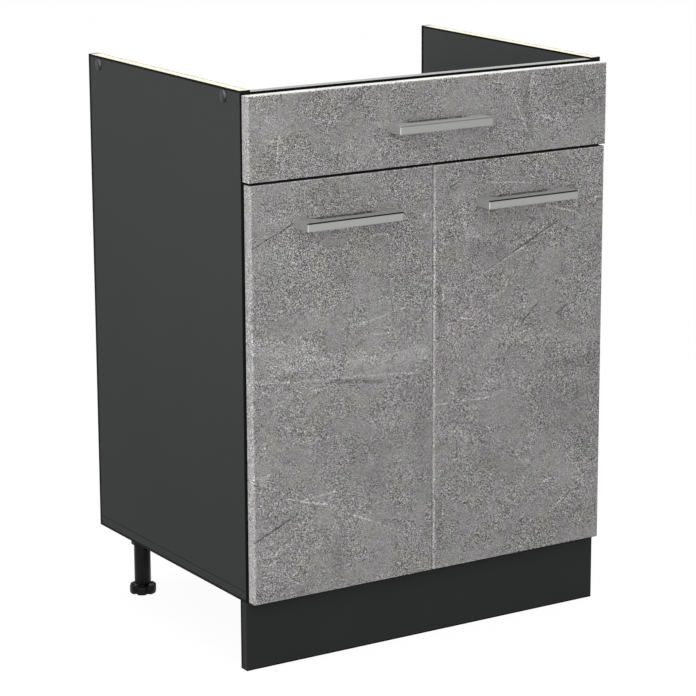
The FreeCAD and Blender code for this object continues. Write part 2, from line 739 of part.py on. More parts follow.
def make_feet():
    """Four levelling feet: socket on the bottom panel, tube, and a lobed base on a threaded stem."""
    x = -foot_x
    y = foot_rear
    to_front = foot_front - foot_rear
    to_right = foot_x * 2
    shifts = {"rear_left": NO_SHIFT, "front_left": (0, to_front, 0), "rear_right": (to_right, 0, 0),
              "front_right": (to_right, to_front, 0)}
    half = mm.socket_half
    plate_under = bottom - mm.socket_plate
    socket = block("socket", (x - half, x + half), (y - half, y + half), (plate_under, bottom), kept=False)
    dress(socket, "Fillet", mm.socket_round, lambda edge: runs_along(edge, "Z"))
    sketch = new_sketch(socket, "Z", plate_under)
    draw_circle(sketch, (x, y), mm.socket_collar)
    pad(socket, sketch, mm.socket_collar_height, -1)
    bore(socket, "Z", plate_under, [(x, y)], mm.tube_radius + mm.bore_fit, mm.socket_collar_height, -1)
    corner = half - mm.socket_screw_inset
    places = [(x + corner * east, y + corner * north) for east in BOTH_WAYS for north in BOTH_WAYS]
    bore(socket, "Z", plate_under, places, mm.wood_shank + mm.bore_fit, mm.socket_plate, 1)
    copies("foot_sockets", socket, shifts.values())

    first = places[0]
    master = screw("socket_screw", "Z", (first[0], first[1], plate_under), 1, mm.wood_shank,
                   mm.wood_screw_length, mm.wood_head, mm.wood_head_height)
    pattern = [NO_SHIFT, (corner * 2, 0, 0), (0, corner * 2, 0), (corner * 2, corner * 2, 0)]
    four = copies("socket_screws", master, pattern, kept=False)
    copies("foot_socket_screws", four, shifts.values())

    tube = new_body("tube", kept=False)
    tube_bottom = mm.foot_thickness + mm.foot_retract
    tube_top = plate_under - mm.tube_top_gap
    plug_top = tube_bottom + mm.tube_plug
    hole = mm.stem_radius + mm.bore_fit
    inside = mm.tube_radius - mm.tube_wall
    turn(tube, "Z", (x, y, 0), [(tube_bottom, hole), (tube_bottom, mm.tube_radius), (tube_top, mm.tube_radius),
                                (tube_top, inside), (plug_top, inside), (plug_top, hole)])
    copies("foot_tubes", tube, shifts.values())

    base = new_body("foot_base", kept=False)
    sketch = new_sketch(base, "Z", 0, (x, y))
    draw_circle(sketch, (0, 0), mm.foot_radius)
    pad(base, sketch, mm.foot_thickness, 1)
    dress(base, "Fillet", mm.foot_round, lambda edge: edge.Closed)
    notch = new_sketch(base, "Z", 0, (x, y))
    draw_circle(notch, (mm.scallop_across, mm.scallop_along), mm.scallop_radius)
    feature = cut(base, notch, mm.foot_thickness, 1)
    pattern = base.newObject("PartDesign::PolarPattern", "scallops")
    pattern.Originals = [feature]
    pattern.Axis = (notch, ["N_Axis"])
    pattern.Angle = FULL_TURN
    pattern.Occurrences = SCALLOPS
    base.Tip = pattern
    doc.recompute()
    stem = new_sketch(base, "Z", mm.foot_thickness)
    draw_circle(stem, (x, y), mm.stem_radius)
    pad(base, stem, mm.stem_length, 1)
    for corner_name, shift in shifts.items():
        copies(corner_name + "_foot", base, [shift])


def make_plinth():
    """The plinth board and the clips that snap on the front tubes."""
    plinth_rear = front + mm.board
    plinth_top = mm.plinth_floor_gap + mm.plinth_height
    plinth = block("plinth_panel", (-half_width, half_width), (front, plinth_rear),
                   (mm.plinth_floor_gap, plinth_top))
    middle = (mm.plinth_floor_gap + plinth_top) / 2
    spread = mm.clip_half_width - mm.clip_screw_inset
    places = [(foot_x * side + spread * way, middle) for side in BOTH_WAYS for way in BOTH_WAYS]
    reach = mm.wood_screw_length - mm.clip_plate + mm.bore_end_gap
    bore(plinth, "Y", plinth_rear, places, mm.wood_shank + mm.bore_fit, reach, -1)

    plate_rear = plinth_rear + mm.clip_plate
    low = middle - mm.clip_height / 2
    heights = (low, middle + mm.clip_height / 2)
    clip = block("clip", (-foot_x - mm.clip_half_width, -foot_x + mm.clip_half_width),
                 (plinth_rear, plate_rear), heights, kept=False)
    web = new_sketch(clip, "Z", low)
    draw_box(web, (-foot_x - mm.clip_web, -foot_x + mm.clip_web), (plate_rear, foot_front - mm.tube_radius))
    pad(clip, web, mm.clip_height, 1)
    ring = new_sketch(clip, "Z", low)
    inside = mm.tube_radius + mm.clip_gap
    draw_circle(ring, (-foot_x, foot_front), inside + mm.clip_wall)
    pad(clip, ring, mm.clip_height, 1)
    bore(clip, "Z", low, [(-foot_x, foot_front)], inside, mm.clip_height, 1)
    mouth = new_sketch(clip, "Z", low)
    draw_box(mouth, (-foot_x - mm.clip_mouth, -foot_x + mm.clip_mouth),
             (foot_front, foot_front + inside + mm.clip_wall + mm.overrun))
    cut(clip, mouth, mm.clip_height, 1)
    bore(clip, "Y", plate_rear, places[:2], mm.wood_shank + mm.bore_fit, mm.clip_plate, -1)
    both_sides("plinth_clips", clip)
    master = screw("clip_screw", "Y", (-foot_x - spread, plate_rear, middle), -1, mm.wood_shank,
                   mm.wood_screw_length, mm.wood_head, mm.wood_head_height)
    pair = copies("left_clip_screws", master, [NO_SHIFT, (spread * 2, 0, 0)], kept=False)
    both_sides("plinth_clip_screws", pair)


# Cup hinges: the pivots and knees of the left lower one, and the layers of its sheet parts along its pins
outer_pivot = (-inner + mm.outer_pivot_rise, front + mm.outer_pivot_back)
inner_pivot = (-inner + mm.inner_pivot_rise, front + mm.inner_pivot_back)
cup_outer_pivot = (-door_outer + mm.cup_pivot_inset, front_rear - mm.cup_outer_pivot_depth)
cup_inner_pivot = (-door_outer + mm.cup_pivot_inset, front_rear - mm.cup_inner_pivot_depth)
outer_knee = (-inner + mm.outer_knee_rise, front - mm.outer_knee_front)
inner_knee = (-inner + mm.inner_knee_rise, front - mm.inner_knee_front)
cup_x = -door_outer + mm.cup_edge_distance + mm.cup_radius
outer_link_low = mm.inner_link_half + mm.link_side_gap
cheek_low = outer_link_low + mm.outer_link_sheet + mm.link_side_gap
cheek_high = cheek_low + mm.arm_sheet
pin_bore = mm.pivot_pin + mm.pivot_fit
hinge_shifts = [NO_SHIFT, (0, 0, hinge_span)]


def make_plates():
    """Mounting plates on the sides, each with two screws."""
    near = front + mm.plate_line - mm.plate_half_width
    far = front + mm.plate_line + mm.plate_half_width
    slab_top = -inner + mm.plate_thickness
    plate = block("plate", (-inner, slab_top), (near, far),
                  (hinge_low - mm.plate_half_height, hinge_low + mm.plate_half_height), kept=False)
    dress(plate, "Fillet", mm.flange_round, lambda edge: runs_along(edge, "X"))
    half = cheek_low - mm.link_side_gap
    sketch = new_sketch(plate, "Z", hinge_low)
    draw_box(sketch, (-inner, -inner + mm.arm_rear_rise - mm.arm_sheet),
             (front + mm.plate_block_front, front + mm.plate_block_rear))
    pad(plate, sketch, half * 2, 0)
    bore(plate, "X", slab_top, plate_screw_places[:2], mm.plate_screw_shank + mm.bore_fit,
         mm.plate_thickness, -1)
    bore(plate, "X", -inner + mm.arm_rear_rise, [(front + mm.arm_screw_back, hinge_low)],
         mm.machine_shank + mm.bore_fit, mm.arm_screw_length + mm.bore_end_gap, -1)
    both_sides("hinge_plates", copies("left_plates", plate, hinge_shifts, kept=False))
    y, z = plate_screw_places[0]
    master = screw("plate_screw", "X", (slab_top, y, z), -1, mm.plate_screw_shank, mm.wood_screw_length,
                   mm.plate_screw_head, mm.plate_screw_head_height)
    rise = mm.plate_screw_half * 2
    shifts = [NO_SHIFT, (0, 0, rise), (0, 0, hinge_span), (0, 0, hinge_span + rise)]
    both_sides("hinge_plate_screws", copies("left_plate_screws", master, shifts, kept=False))


def make_arms():
    """Hinge arms: pressed channels over the plates, open in front for the links."""
    arm = new_body("arm", kept=False)
    foot = -inner + mm.arm_foot
    rear_rise = -inner + mm.arm_rear_rise
    rise = -inner + mm.arm_rise
    arm_end = front + mm.arm_rear
    nose = front + mm.inner_pivot_back - mm.arm_nose
    throat = inner_pivot[0] - mm.arm_nose
    profile = [(foot, arm_end), (foot, front + mm.plate_block_front), (throat, front + mm.arm_throat),
               (throat, nose), (rise, nose), (rise, front + mm.arm_step_front),
               (rear_rise, front + mm.arm_step_rear), (rear_rise, arm_end)]
    sketch = new_sketch(arm, "Z", hinge_low)
    draw_outline(sketch, profile[::-1])
    pad(arm, sketch, cheek_high * 2, 0)
    past = arm_end + mm.overrun
    ahead = nose - mm.overrun
    web_start = front + mm.arm_web_front
    channel = [(foot - mm.overrun, ahead), (rise + mm.overrun, ahead), (rise + mm.overrun, web_start),
               (rise - mm.arm_sheet, web_start), (rise - mm.arm_sheet, front + mm.arm_step_front),
               (rear_rise - mm.arm_sheet, front + mm.arm_step_rear), (rear_rise - mm.arm_sheet, past),
               (foot - mm.overrun, past)]
    hollow = new_sketch(arm, "Z", hinge_low)
    draw_outline(hollow, channel)
    cut(arm, hollow, cheek_low * 2, 0)
    pins = new_sketch(arm, "Z", hinge_low)
    for place in (outer_pivot, inner_pivot):
        draw_circle(pins, place, pin_bore)
    cut(arm, pins, cheek_high * 2, 0)
    screw_place = (front + mm.arm_screw_back, hinge_low)
    bore(arm, "X", rear_rise, [screw_place], mm.machine_shank + mm.bore_fit, mm.arm_sheet, -1)
    both_sides("hinge_arms", copies("left_arms", arm, hinge_shifts, kept=False))
    master = screw("arm_screw", "X", (rear_rise, screw_place[0], hinge_low), -1, mm.machine_shank,
                   mm.arm_screw_length, mm.arm_screw_head, mm.arm_screw_head_height)
    both_sides("hinge_arm_screws", copies("left_arm_screws", master, hinge_shifts, kept=False))
    pin_pair = grouped("arm_pin_pair", [make_pin(place, -cheek_high, cheek_high)
                                        for place in (outer_pivot, inner_pivot)], kept=False)
    both_sides("hinge_arm_pins", copies("left_arm_pins", pin_pair, hinge_shifts, kept=False))


def make_pin(place, low, high):
    """A pivot pin between two levels counted from the middle of the lower hinge."""
    pin = new_body("pin", kept=False)
    sketch = new_sketch(pin, "Z", hinge_low + low)
    draw_circle(sketch, place, mm.pivot_pin)
    pad(pin, sketch, high - low, 1)
    return pin


def make_cups():
    """Hinge cups let into the doors, with the cheeks that hold their two pins."""
    cup = new_body("cup", kept=False)
    place = (cup_x, hinge_low)
    inside = mm.cup_radius - mm.cup_wall
    flange = new_sketch(cup, "Y", front_rear)
    draw_box(flange, (cup_x - mm.flange_inner, cup_x + mm.flange_outer),
             (hinge_low - mm.flange_half_height, hinge_low + mm.flange_half_height))
    pad(cup, flange, mm.flange_thickness, 1)
    dress(cup, "Fillet", mm.flange_round, lambda edge: runs_along(edge, "Y"))
    shell = new_sketch(cup, "Y", front_rear)
    draw_circle(shell, place, mm.cup_radius)
    pad(cup, shell, mm.cup_depth, -1)
    bore(cup, "Y", front_rear + mm.flange_thickness, [place], inside,
         mm.cup_depth + mm.flange_thickness - mm.cup_floor, -1)
    wall_reach = root_of(inside * inside - cheek_low * cheek_low)
    cheek_x = (cup_x - wall_reach, cup_inner_pivot[0] + mm.link_half_width)
    cheek_y = (front_rear - mm.cup_depth + mm.cup_floor / 2,
               front_rear - mm.cup_outer_pivot_depth + mm.link_half_width)
    for start, way in ((hinge_low + cheek_low, 1), (hinge_low - cheek_low, -1)):
        cheek = new_sketch(cup, "Z", start)
        draw_box(cheek, cheek_x, cheek_y)
        pad(cup, cheek, mm.arm_sheet, way)
    notch = new_sketch(cup, "Z", hinge_low)
    draw_box(notch, (cup_x - mm.cup_radius - mm.overrun, cup_x - wall_reach),
             (front_rear - mm.cup_notch_depth, front_rear + mm.overrun))
    cut(cup, notch, cheek_low * 2, 0)
    pins = new_sketch(cup, "Z", hinge_low)
    for pivot in (cup_outer_pivot, cup_inner_pivot):
        draw_circle(pins, pivot, pin_bore)
    cut(cup, pins, cheek_high * 2, 0)
    flange_top = front_rear + mm.flange_thickness
    screws = [(cup_x, hinge_low + mm.cup_screw_half * way) for way in BOTH_WAYS]
    bore(cup, "Y", flange_top, screws, mm.wood_shank + mm.bore_fit, mm.flange_thickness, -1)
    left = copies("left_hinge_cups", cup, hinge_shifts)
    mirrored("right_hinge_cups", left)
    master = screw("cup_screw", "Y", (cup_x, flange_top, screws[0][1]), -1, mm.wood_shank,
                   mm.wood_screw_length, mm.wood_head, mm.wood_head_height)
    rise = mm.cup_screw_half * 2
    shifts = [NO_SHIFT, (0, 0, rise), (0, 0, hinge_span), (0, 0, hinge_span + rise)]
    left_screws = copies("left_cup_screws", master, shifts)
    mirrored("right_cup_screws", left_screws)
    pins = [make_pin(cup_inner_pivot, -cheek_high, cheek_high),
            make_pin(cup_outer_pivot, outer_link_low, cheek_high),
            make_pin(cup_outer_pivot, -cheek_high, -outer_link_low)]
    left_pins = copies("left_cup_pins", grouped("cup_pin_set", pins, kept=False), hinge_shifts)
    mirrored("right_cup_pins", left_pins)


def make_link(name, ends, knee, radii, start, thickness, toward, bores):
    """A cranked link: two straps that meet at a knee, with a bore at each end."""
    link = new_body(name, kept=False)
    for end, radius in zip(ends, radii):
        strap = new_sketch(link, "Z", start)
        draw_strap(strap, (end, knee), (radius, mm.link_half_width))
        pad(link, strap, thickness, toward)
    for end, radius in zip(ends, bores):
        hole = new_sketch(link, "Z", start)
        draw_circle(hole, end, radius)
        cut(link, hole, thickness, toward)
    return link


def make_links():
    """The outer links, two sheets each, and the inner links with their open eye."""
    outer = make_link("outer_link", (outer_pivot, cup_outer_pivot), outer_knee,
                      (mm.outer_link_eye, mm.link_half_width), hinge_low + outer_link_low,
                      mm.outer_link_sheet, 1, (pin_bore, pin_bore))
    down = -(outer_link_low * 2 + mm.outer_link_sheet)
    shifts = [NO_SHIFT, (0, 0, down), (0, 0, hinge_span), (0, 0, hinge_span + down)]
    left_outer = copies("left_outer_links", outer, shifts)
    mirrored("right_outer_links", left_outer)
    middle_link = make_link("inner_link", (inner_pivot, cup_inner_pivot), inner_knee,
                            (mm.open_eye_radius, mm.link_half_width), hinge_low,
                            mm.inner_link_half * 2, 0, (mm.open_eye_bore, pin_bore))
    left_inner = copies("left_inner_links", middle_link, hinge_shifts)
    mirrored("right_inner_links", left_inner)


def make_doors():
    """The left door with its bores and fittings, and the right one as its mirror image."""
    door = block("left_door", (-door_outer, -door_inner), (front_face, front_rear), (bottom, door_top))
    bevel_front(door)
    cups = [(cup_x, hinge_low), (cup_x, hinge_high)]
    bore(door, "Y", front_rear, cups, mm.cup_radius + mm.bore_fit, mm.cup_pocket_depth, -1)
    screws = [(cup_x, z + mm.cup_screw_half * way) for z in (hinge_low, hinge_high) for way in BOTH_WAYS]
    reach = mm.wood_screw_length - mm.flange_thickness + mm.bore_end_gap
    bore(door, "Y", front_rear, screws, mm.wood_shank + mm.bore_fit, reach, -1)
    holes = [(-door_middle + handle_half * way, door_handle_z) for way in BOTH_WAYS]
    bore(door, "Y", front_rear, holes, mm.machine_shank + mm.screw_clearance, mm.front_board, -1)
    mirrored("right_door", door)
    mirrored("right_handle", make_handle("left_handle", -door_middle, door_handle_z))
    left_screws = make_handle_screws("left_handle_screws", -door_middle, door_handle_z)
    mirrored("right_handle_screws", left_screws)

    bumper_x = -door_inner - mm.bumper_inset
    bumper_low = (bottom + floor_top) / 2
    bumper_high = (front_rail_bottom + door_top) / 2
    bumper = new_body("bumper", kept=False)
    disc = new_sketch(bumper, "Y", front_rear)
    draw_circle(disc, (bumper_x, bumper_low), mm.bumper_radius)
    pad(bumper, disc, mm.front_gap - mm.bumper_gap, 1)
    dress(bumper, "Fillet", mm.bumper_round, lambda edge: edge.Closed and not level(edge, "Y", front_rear))
    left_bumpers = copies("left_door_bumpers", bumper, [NO_SHIFT, (0, 0, bumper_high - bumper_low)])
    mirrored("right_door_bumpers", left_bumpers)


def check_document():
    """Stops if any object failed, or if a node's shape is empty or not valid."""
    failed = [item.Label for item in doc.Objects if "Invalid" in item.State or "Error" in item.State]
    broken = [name for name, item in nodes.items()
              if item.Shape.isNull() or not item.Shape.isValid() or not item.Shape.Solids]
    if failed or broken:
        raise RuntimeError("failed: %s, broken: %s" % (failed, broken))


make_side()
make_bottom()
make_bands()
make_rails()
make_rail_fittings()
make_carcass_screws()
make_caps()
make_false_front()
make_feet()
make_plinth()
make_plates()
make_arms()
make_cups()
make_links()
make_doors()
doc.recompute()
check_document()

os.makedirs("parts", exist_ok=True)
for node_name, node in nodes.items():
    node.Shape.exportStep("parts/%s.step" % node_name)
print("%d nodes, %d solids" % (len(nodes), sum(len(node.Shape.Solids) for node in nodes.values())))
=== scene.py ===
"""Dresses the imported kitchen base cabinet: board decors, metal and plastic finishes, screws, feet and studio."""

from __future__ import annotations

import json
import logging
import math
from collections.abc import Sequence
from dataclasses import dataclass, field
from enum import Enum

import bmesh
import bpy
from mathutils import Matrix, Vector

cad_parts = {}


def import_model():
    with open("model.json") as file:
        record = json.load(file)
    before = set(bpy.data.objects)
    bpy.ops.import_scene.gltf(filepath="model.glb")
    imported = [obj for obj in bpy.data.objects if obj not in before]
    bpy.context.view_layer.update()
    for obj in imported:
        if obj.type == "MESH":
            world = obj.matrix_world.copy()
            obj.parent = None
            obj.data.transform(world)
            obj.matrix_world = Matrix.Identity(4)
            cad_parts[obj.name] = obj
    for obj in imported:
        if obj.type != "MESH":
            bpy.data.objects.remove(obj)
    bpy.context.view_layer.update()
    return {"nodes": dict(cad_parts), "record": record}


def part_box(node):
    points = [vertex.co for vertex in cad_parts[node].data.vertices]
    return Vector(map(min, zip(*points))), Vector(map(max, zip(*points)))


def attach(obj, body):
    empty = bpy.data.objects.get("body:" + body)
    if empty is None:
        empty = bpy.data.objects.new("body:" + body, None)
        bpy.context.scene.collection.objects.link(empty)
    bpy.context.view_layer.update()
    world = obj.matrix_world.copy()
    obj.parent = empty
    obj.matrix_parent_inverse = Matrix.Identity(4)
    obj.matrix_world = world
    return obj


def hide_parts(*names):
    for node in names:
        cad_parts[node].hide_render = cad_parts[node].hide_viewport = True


LOG = logging.getLogger("base_cabinet")
MM = 0.001
WELD = 0.002 * MM
JOINED = 0.001 * MM
LEVEL = 0.01 * MM
ARRIS_ANGLE = math.radians(28)
BROAD_MARK_HALF_WIDTH = 4
Box = tuple[Vector, Vector]
Tone = tuple[float, float, float]
Offset = tuple[float, float, float]
Fade = tuple[float, float]


def shade(red: float, green: float, blue: float) -> tuple[float, float, float, float]:
    """Turns a colour written in display steps of 0 to 255 into the shader's linear values.

    Args:
        red: Red step.
        green: Green step.
        blue: Blue step.

    Returns:
        Linear red, green, blue and full alpha.
    """
    steps = [step / 255 for step in (red, green, blue)]
    linear = [step / 12.92 if step <= 0.04045 else ((step + 0.055) / 1.055) ** 2.4 for step in steps]
    return linear[0], linear[1], linear[2], 1.0


# The tone of the dark lines of painted shade along board arrises.
EDGE_SHADE_TONE = shade(2, 2, 2)


class Side(Enum):
    """An outer side of a board, as the direction it looks in."""

    LEFT = (-1, 0, 0)
    RIGHT = (1, 0, 0)
    FRONT = (0, -1, 0)
    REAR = (0, 1, 0)
    UNDER = (0, 0, -1)
    TOP = (0, 0, 1)

    @property
    def axis(self) -> int:
        """The index of the axis that the side looks along."""
        return [abs(part) for part in self.value].index(1)

    @property
    def ahead(self) -> bool:
        """Whether it looks along that axis and not against it."""
        return self.value[self.axis] > 0

    def border(self, box: Box) -> float:
        """Where this side of a box lies on that axis."""
        return box[int(self.ahead)][self.axis]


class Axis(Enum):
    """A world axis by its index."""

    X = 0
    Y = 1
    Z = 2


class Wire:
    """The output of a shader node, with plain arithmetic where it is a number."""

    def __init__(self, graph: Graph, socket: bpy.types.NodeSocket) -> None:
        """Keeps the graph and the socket."""
        self.graph = graph
        self.socket = socket

    def __add__(self, other: Number) -> Wire:
        """The sum."""
        return self.graph.calc("ADD", self, other)

    def __sub__(self, other: Number) -> Wire:
        """The difference."""
        return self.graph.calc("SUBTRACT", self, other)

    def __rsub__(self, other: float) -> Wire:
        """A plain number less this one."""
        return self.graph.calc("SUBTRACT", other, self)

    def __mul__(self, other: Number) -> Wire:
        """The product."""
        return self.graph.calc("MULTIPLY", self, other)

    def __abs__(self) -> Wire:
        """The number without its sign."""
        return self.graph.calc("ABSOLUTE", self)

    def most(self, other: Number) -> Wire:
        """The larger of two numbers."""
        return self.graph.calc("MAXIMUM", self, other)

    def remap(self, low: float, high: float, out_low: float = 0.0, out_high: float = 1.0) -> Wire:
        """Stretches a span of values over another one, smoothly and clamped.

        Args:
            low: Start of the span.
            high: End of the span.
            out_low: What the start becomes.
            out_high: What the end becomes.

        Returns:
            The stretched value.
        """
        node = self.graph.add("ShaderNodeMapRange", interpolation_type="SMOOTHSTEP")
        self.graph.feed(node, self, low, high, out_low, out_high)
        return self.graph.out(node)


Number = float | Wire


class Graph:
    """A shader's node tree, with short calls for its nodes."""

    def __init__(self, tree: bpy.types.NodeTree) -> None:
        """Keeps the tree."""
        self.tree = tree

    def add(self, kind: str, **settings: object) -> bpy.types.Node:
        """Adds a node.

        Args:
            kind: The node's type name.
            **settings: Attributes set on the node.

        Returns:
            The new node.
        """
        node = self.tree.nodes.new(kind)
        for key, value in settings.items():
            setattr(node, key, value)
        return node

    def out(self, node: bpy.types.Node, output: int | str = 0) -> Wire:
        """One output of a node."""
        return Wire(self, node.outputs[output])

    def plug(self, socket: bpy.types.NodeSocket, value: object) -> None:
        """Links a socket to a wire, or sets its plain value.

        Args:
            socket: The socket.
            value: The wire or the value.
        """
        if isinstance(value, Wire):
            self.tree.links.new(value.socket, socket)
        else:
            socket.default_value = value

    def feed(self, node: bpy.types.Node, *values: object) -> None:
        """Plugs values in the first sockets of a node."""
        for socket, value in zip(node.inputs, values):
            self.plug(socket, value)

    def calc(self, how: str, first: Number, second: Number = 0.0, clamp: bool = False) -> Wire:
        """Adds one arithmetic node.

        Args:
            how: The operation's name.
            first: First operand.
            second: Second operand.
            clamp: Whether the result is kept within 0 and 1.

        Returns:
            The result.
        """
        node = self.add("ShaderNodeMath", operation=how, use_clamp=clamp)
        self.feed(node, first, second)
        return self.out(node)

    def vector(self, how: str, *operands: object, scale: Number | None = None) -> Wire:
        """Adds one vector node.

        Args:
            how: The operation's name.
            *operands: Wires or plain vectors.
            scale: The factor, for an operation that has one.

        Returns:
            A number for a dot product or a distance, else a vector.
        """
        node = self.add("ShaderNodeVectorMath", operation=how)
        self.feed(node, *operands)
        if scale is not None:
            self.plug(node.inputs["Scale"], scale)
        return self.out(node, "Value" if how in ("DOT_PRODUCT", "DISTANCE") else "Vector")

    def scaled(self, vector: object, factor: Number) -> Wire:
        """Multiplies a vector or a colour by a number."""
        return self.vector("SCALE", vector, scale=factor)

    def blend(self, share: Number, under: object, over: object) -> Wire:
        """Mixes two colours.

        Args:
            share: How much of the second colour is used.
            under: First colour.
            over: Second colour.

        Returns:
            The mixed colour.
        """
        node = self.add("ShaderNodeMix", data_type="RGBA")
        for index, value in ((0, share), (6, under), (7, over)):
            self.plug(node.inputs[index], value)
        return self.out(node, 2)

    def axes(self, vector: Wire) -> tuple[Wire, Wire, Wire]:
        """Splits a vector in its three parts.

        Args:
            vector: The vector.

        Returns:
            Its parts along X, Y and Z.
        """
        node = self.add("ShaderNodeSeparateXYZ")
        self.feed(node, vector)
        return self.out(node, 0), self.out(node, 1), self.out(node, 2)


class Surface(Graph):
    """The node tree of one material, with the patterns and masks that the finishes share."""

    def __init__(self, name: str) -> None:
        """Starts a material with its surface shader.

        Args:
            name: Name of the material.
        """
        self.material = bpy.data.materials.new(name)
        self.material.use_nodes = True
        super().__init__(self.material.node_tree)
        self.surface = self.tree.nodes["Principled BSDF"]
        coordinates = self.add("ShaderNodeTexCoord")
        self.place = self.out(coordinates, "Object")
        self.normal = self.out(coordinates, "Normal")

    def stretched(self, scale: Sequence[float], shift: Sequence[float] = (0, 0, 0)) -> Wire:
        """The object's coordinates, scaled and shifted.

        Args:
            scale: Factor along each axis.
            shift: Offset along each axis.

        Returns:
            The changed coordinates.
        """
        node = self.add("ShaderNodeMapping", vector_type="POINT")
        self.feed(node, self.place)
        node.inputs["Location"].default_value = shift
        node.inputs["Scale"].default_value = scale
        return self.out(node)

    def noise(self, scale: float, detail: float = 2.0, rough: float = 0.5, at: Wire | None = None,
              warp: float = 0.0, output: int | str = 0) -> Wire:
        """A fractal noise value from 0 to 1.

        Args:
            scale: Features per metre.
            detail: Number of finer layers.
            rough: Weight of the finer layers.
            at: Coordinates, the object's own when left out.
            warp: Distortion.
            output: The node's first output for one value, Color for three separate ones.

        Returns:
            The noise value.
        """
        node = self.add("ShaderNodeTexNoise")
        self.plug(node.inputs["Vector"], at or self.place)
        for key, value in (("Scale", scale), ("Detail", detail), ("Roughness", rough), ("Distortion", warp)):
            node.inputs[key].default_value = value
        return self.out(node, output)

    def cells(self, scale: float, at: Wire | None = None) -> tuple[Wire, Wire, Wire]:
        """Random values for the cells of a grainy pattern.

        Args:
            scale: Cells per metre.
            at: Coordinates, the object's own when left out.

        Returns:
            Three values from 0 to 1, even over each cell.
        """
        node = self.add("ShaderNodeTexVoronoi", feature="F1")
        self.plug(node.inputs["Vector"], at or self.place)
        node.inputs["Scale"].default_value = scale
        return self.axes(self.out(node, "Color"))

    def paint(self, colour: Wire, rough: Wire, relief: Wire, depth: float, metallic: float = 0.0,
              specular: float = 0.5, clear: float = 0.0) -> bpy.types.Material:
        """Finishes the surface shader.

        Args:
            colour: Base colour.
            rough: Roughness.
            relief: Relief from 0 to 1.
            depth: Height of a full step of it in metres.
            metallic: How much of it is bare metal.
            specular: Specular level.
            clear: How much light goes through.

        Returns:
            The finished material.
        """
        bump = self.add("ShaderNodeBump")
        bump.inputs["Distance"].default_value = depth
        self.plug(bump.inputs["Height"], relief)
        self.plug(self.surface.inputs["Normal"], self.out(bump))
        self.plug(self.surface.inputs["Base Color"], colour)
        self.plug(self.surface.inputs["Roughness"], rough)
        self.surface.inputs["Metallic"].default_value = metallic
        self.surface.inputs["Specular IOR Level"].default_value = specular
        self.surface.inputs["Transmission Weight"].default_value = clear
        return self.material

    def looks(self, side: Side, limit: float = 0.5) -> Wire:
        """One where the surface looks towards a side, else zero."""
        return self.calc("GREATER_THAN", self.vector("DOT_PRODUCT", self.normal, side.value), limit)

    def at_side(self, side: Side, box: Box, margin: float = 0.3 * MM) -> Wire:
        """One within a margin of a side of a box, else zero.

        Args:
            side: The side.
            box: Lowest and highest corner.
            margin: Width of the zone in metres.

        Returns:
            The mask.
        """
        part = self.axes(self.place)[side.axis]
        if side.ahead:
            return self.calc("GREATER_THAN", part, side.border(box) - margin)
        return self.calc("LESS_THAN", part, side.border(box) + margin)

    def rim(self, across: Sequence[Axis], box: Box) -> Wire:
        """The distance in metres from the nearest border of a box, over one or two axes.

        Args:
            across: The axes whose borders count.
            box: Lowest and highest corner.

        Returns:
            The distance.
        """
        inward = []
        for axis in across:
            low, high = (corner[axis.value] for corner in box)
            inward.append((high - low) / 2 - abs(self.axes(self.place)[axis.value] - (low + high) / 2))
        return inward[0] if len(inward) == 1 else self.calc("MINIMUM", *inward)


@dataclass(frozen=True)
class Mark:
    """A mark on a front's face from one place to another, in millimetres: a scratch, a soft stain, a painted shadow
    line or a painted pool of light.
    """

    start_x: float
    start_z: float
    end_x: float
    end_z: float
    half_width: float
    tone: float

    @property
    def soft(self) -> bool:
        """Whether the mark is broad and soft, such as stains and painted pools of light, and not a thin line."""
        return self.half_width > BROAD_MARK_HALF_WIDTH


@dataclass
class Marking:
    """Draws scratches, stains, painted shadow lines and painted pools of light on a face that looks forward.

    Noise shakes their outlines: each scale is its features per metre, each shake how far it moves a point. The core
    is the share of a mark's half width that has its full tone.
    """

    graph: Surface
    thin_scale: float = 60
    thin_shake: float = 0.9 * MM
    thin_core: float = 0.5
    broad_scale: float = 30
    broad_shake: float = 26 * MM
    broad_core: float = 0.1
    break_scale: float = 190

    def __post_init__(self) -> None:
        """Prepares the ragged coordinates that all marks of a board share."""
        self.thin = self.ragged(self.thin_scale, self.thin_shake)
        self.broad = self.ragged(self.broad_scale, self.broad_shake)
        self.broken = self.graph.noise(self.break_scale, 1).remap(0.36, 0.52, 0.55, 1.0)

    def ragged(self, scale: float, amount: float) -> Wire:
        """The face's coordinates, shaken by noise.

        Args:
            scale: Features of the noise per metre.
            amount: How far it moves a point, in metres.

        Returns:
            The shaken coordinates.
        """
        flat = self.graph.stretched((1, 0, 1))
        noise = self.graph.noise(scale, 3, at=flat, output="Color")
        shake = self.graph.vector("MULTIPLY_ADD", noise, (amount, 0, amount), (-amount / 2, 0, -amount / 2))
        return self.graph.vector("ADD", flat, shake)

    def product(self, marks: Sequence[Mark]) -> Wire:
        """The product of all marks' tones.

        Args:
            marks: The marks.

        Returns:
            The tone factor at each point.
        """
        total = self.tone(marks[0])
        for mark in marks[1:]:
            total = total * self.tone(mark)
        return total

    def tone(self, mark: Mark) -> Wire:
        """One mark's tone on it and one elsewhere.

        Args:
            mark: The mark.

        Returns:
            The tone.
        """
        graph = self.graph
        start = Vector((mark.start_x, 0, mark.start_z)) * MM
        run = Vector((mark.end_x, 0, mark.end_z)) * MM - start
        width = mark.half_width * MM
        offset = graph.vector("SUBTRACT", self.broad if mark.soft else self.thin, start)
        share = graph.calc("ADD", graph.vector("DOT_PRODUCT", offset, run / run.length_squared), 0.0, clamp=True)
        gap = graph.vector("DISTANCE", offset, graph.scaled(run, share))
        drawn = gap.remap((self.broad_core if mark.soft else self.thin_core) * width, width, 1.0, 0.0)
        return (drawn if mark.soft else drawn * self.broken) * (mark.tone - 1.0) + 1.0


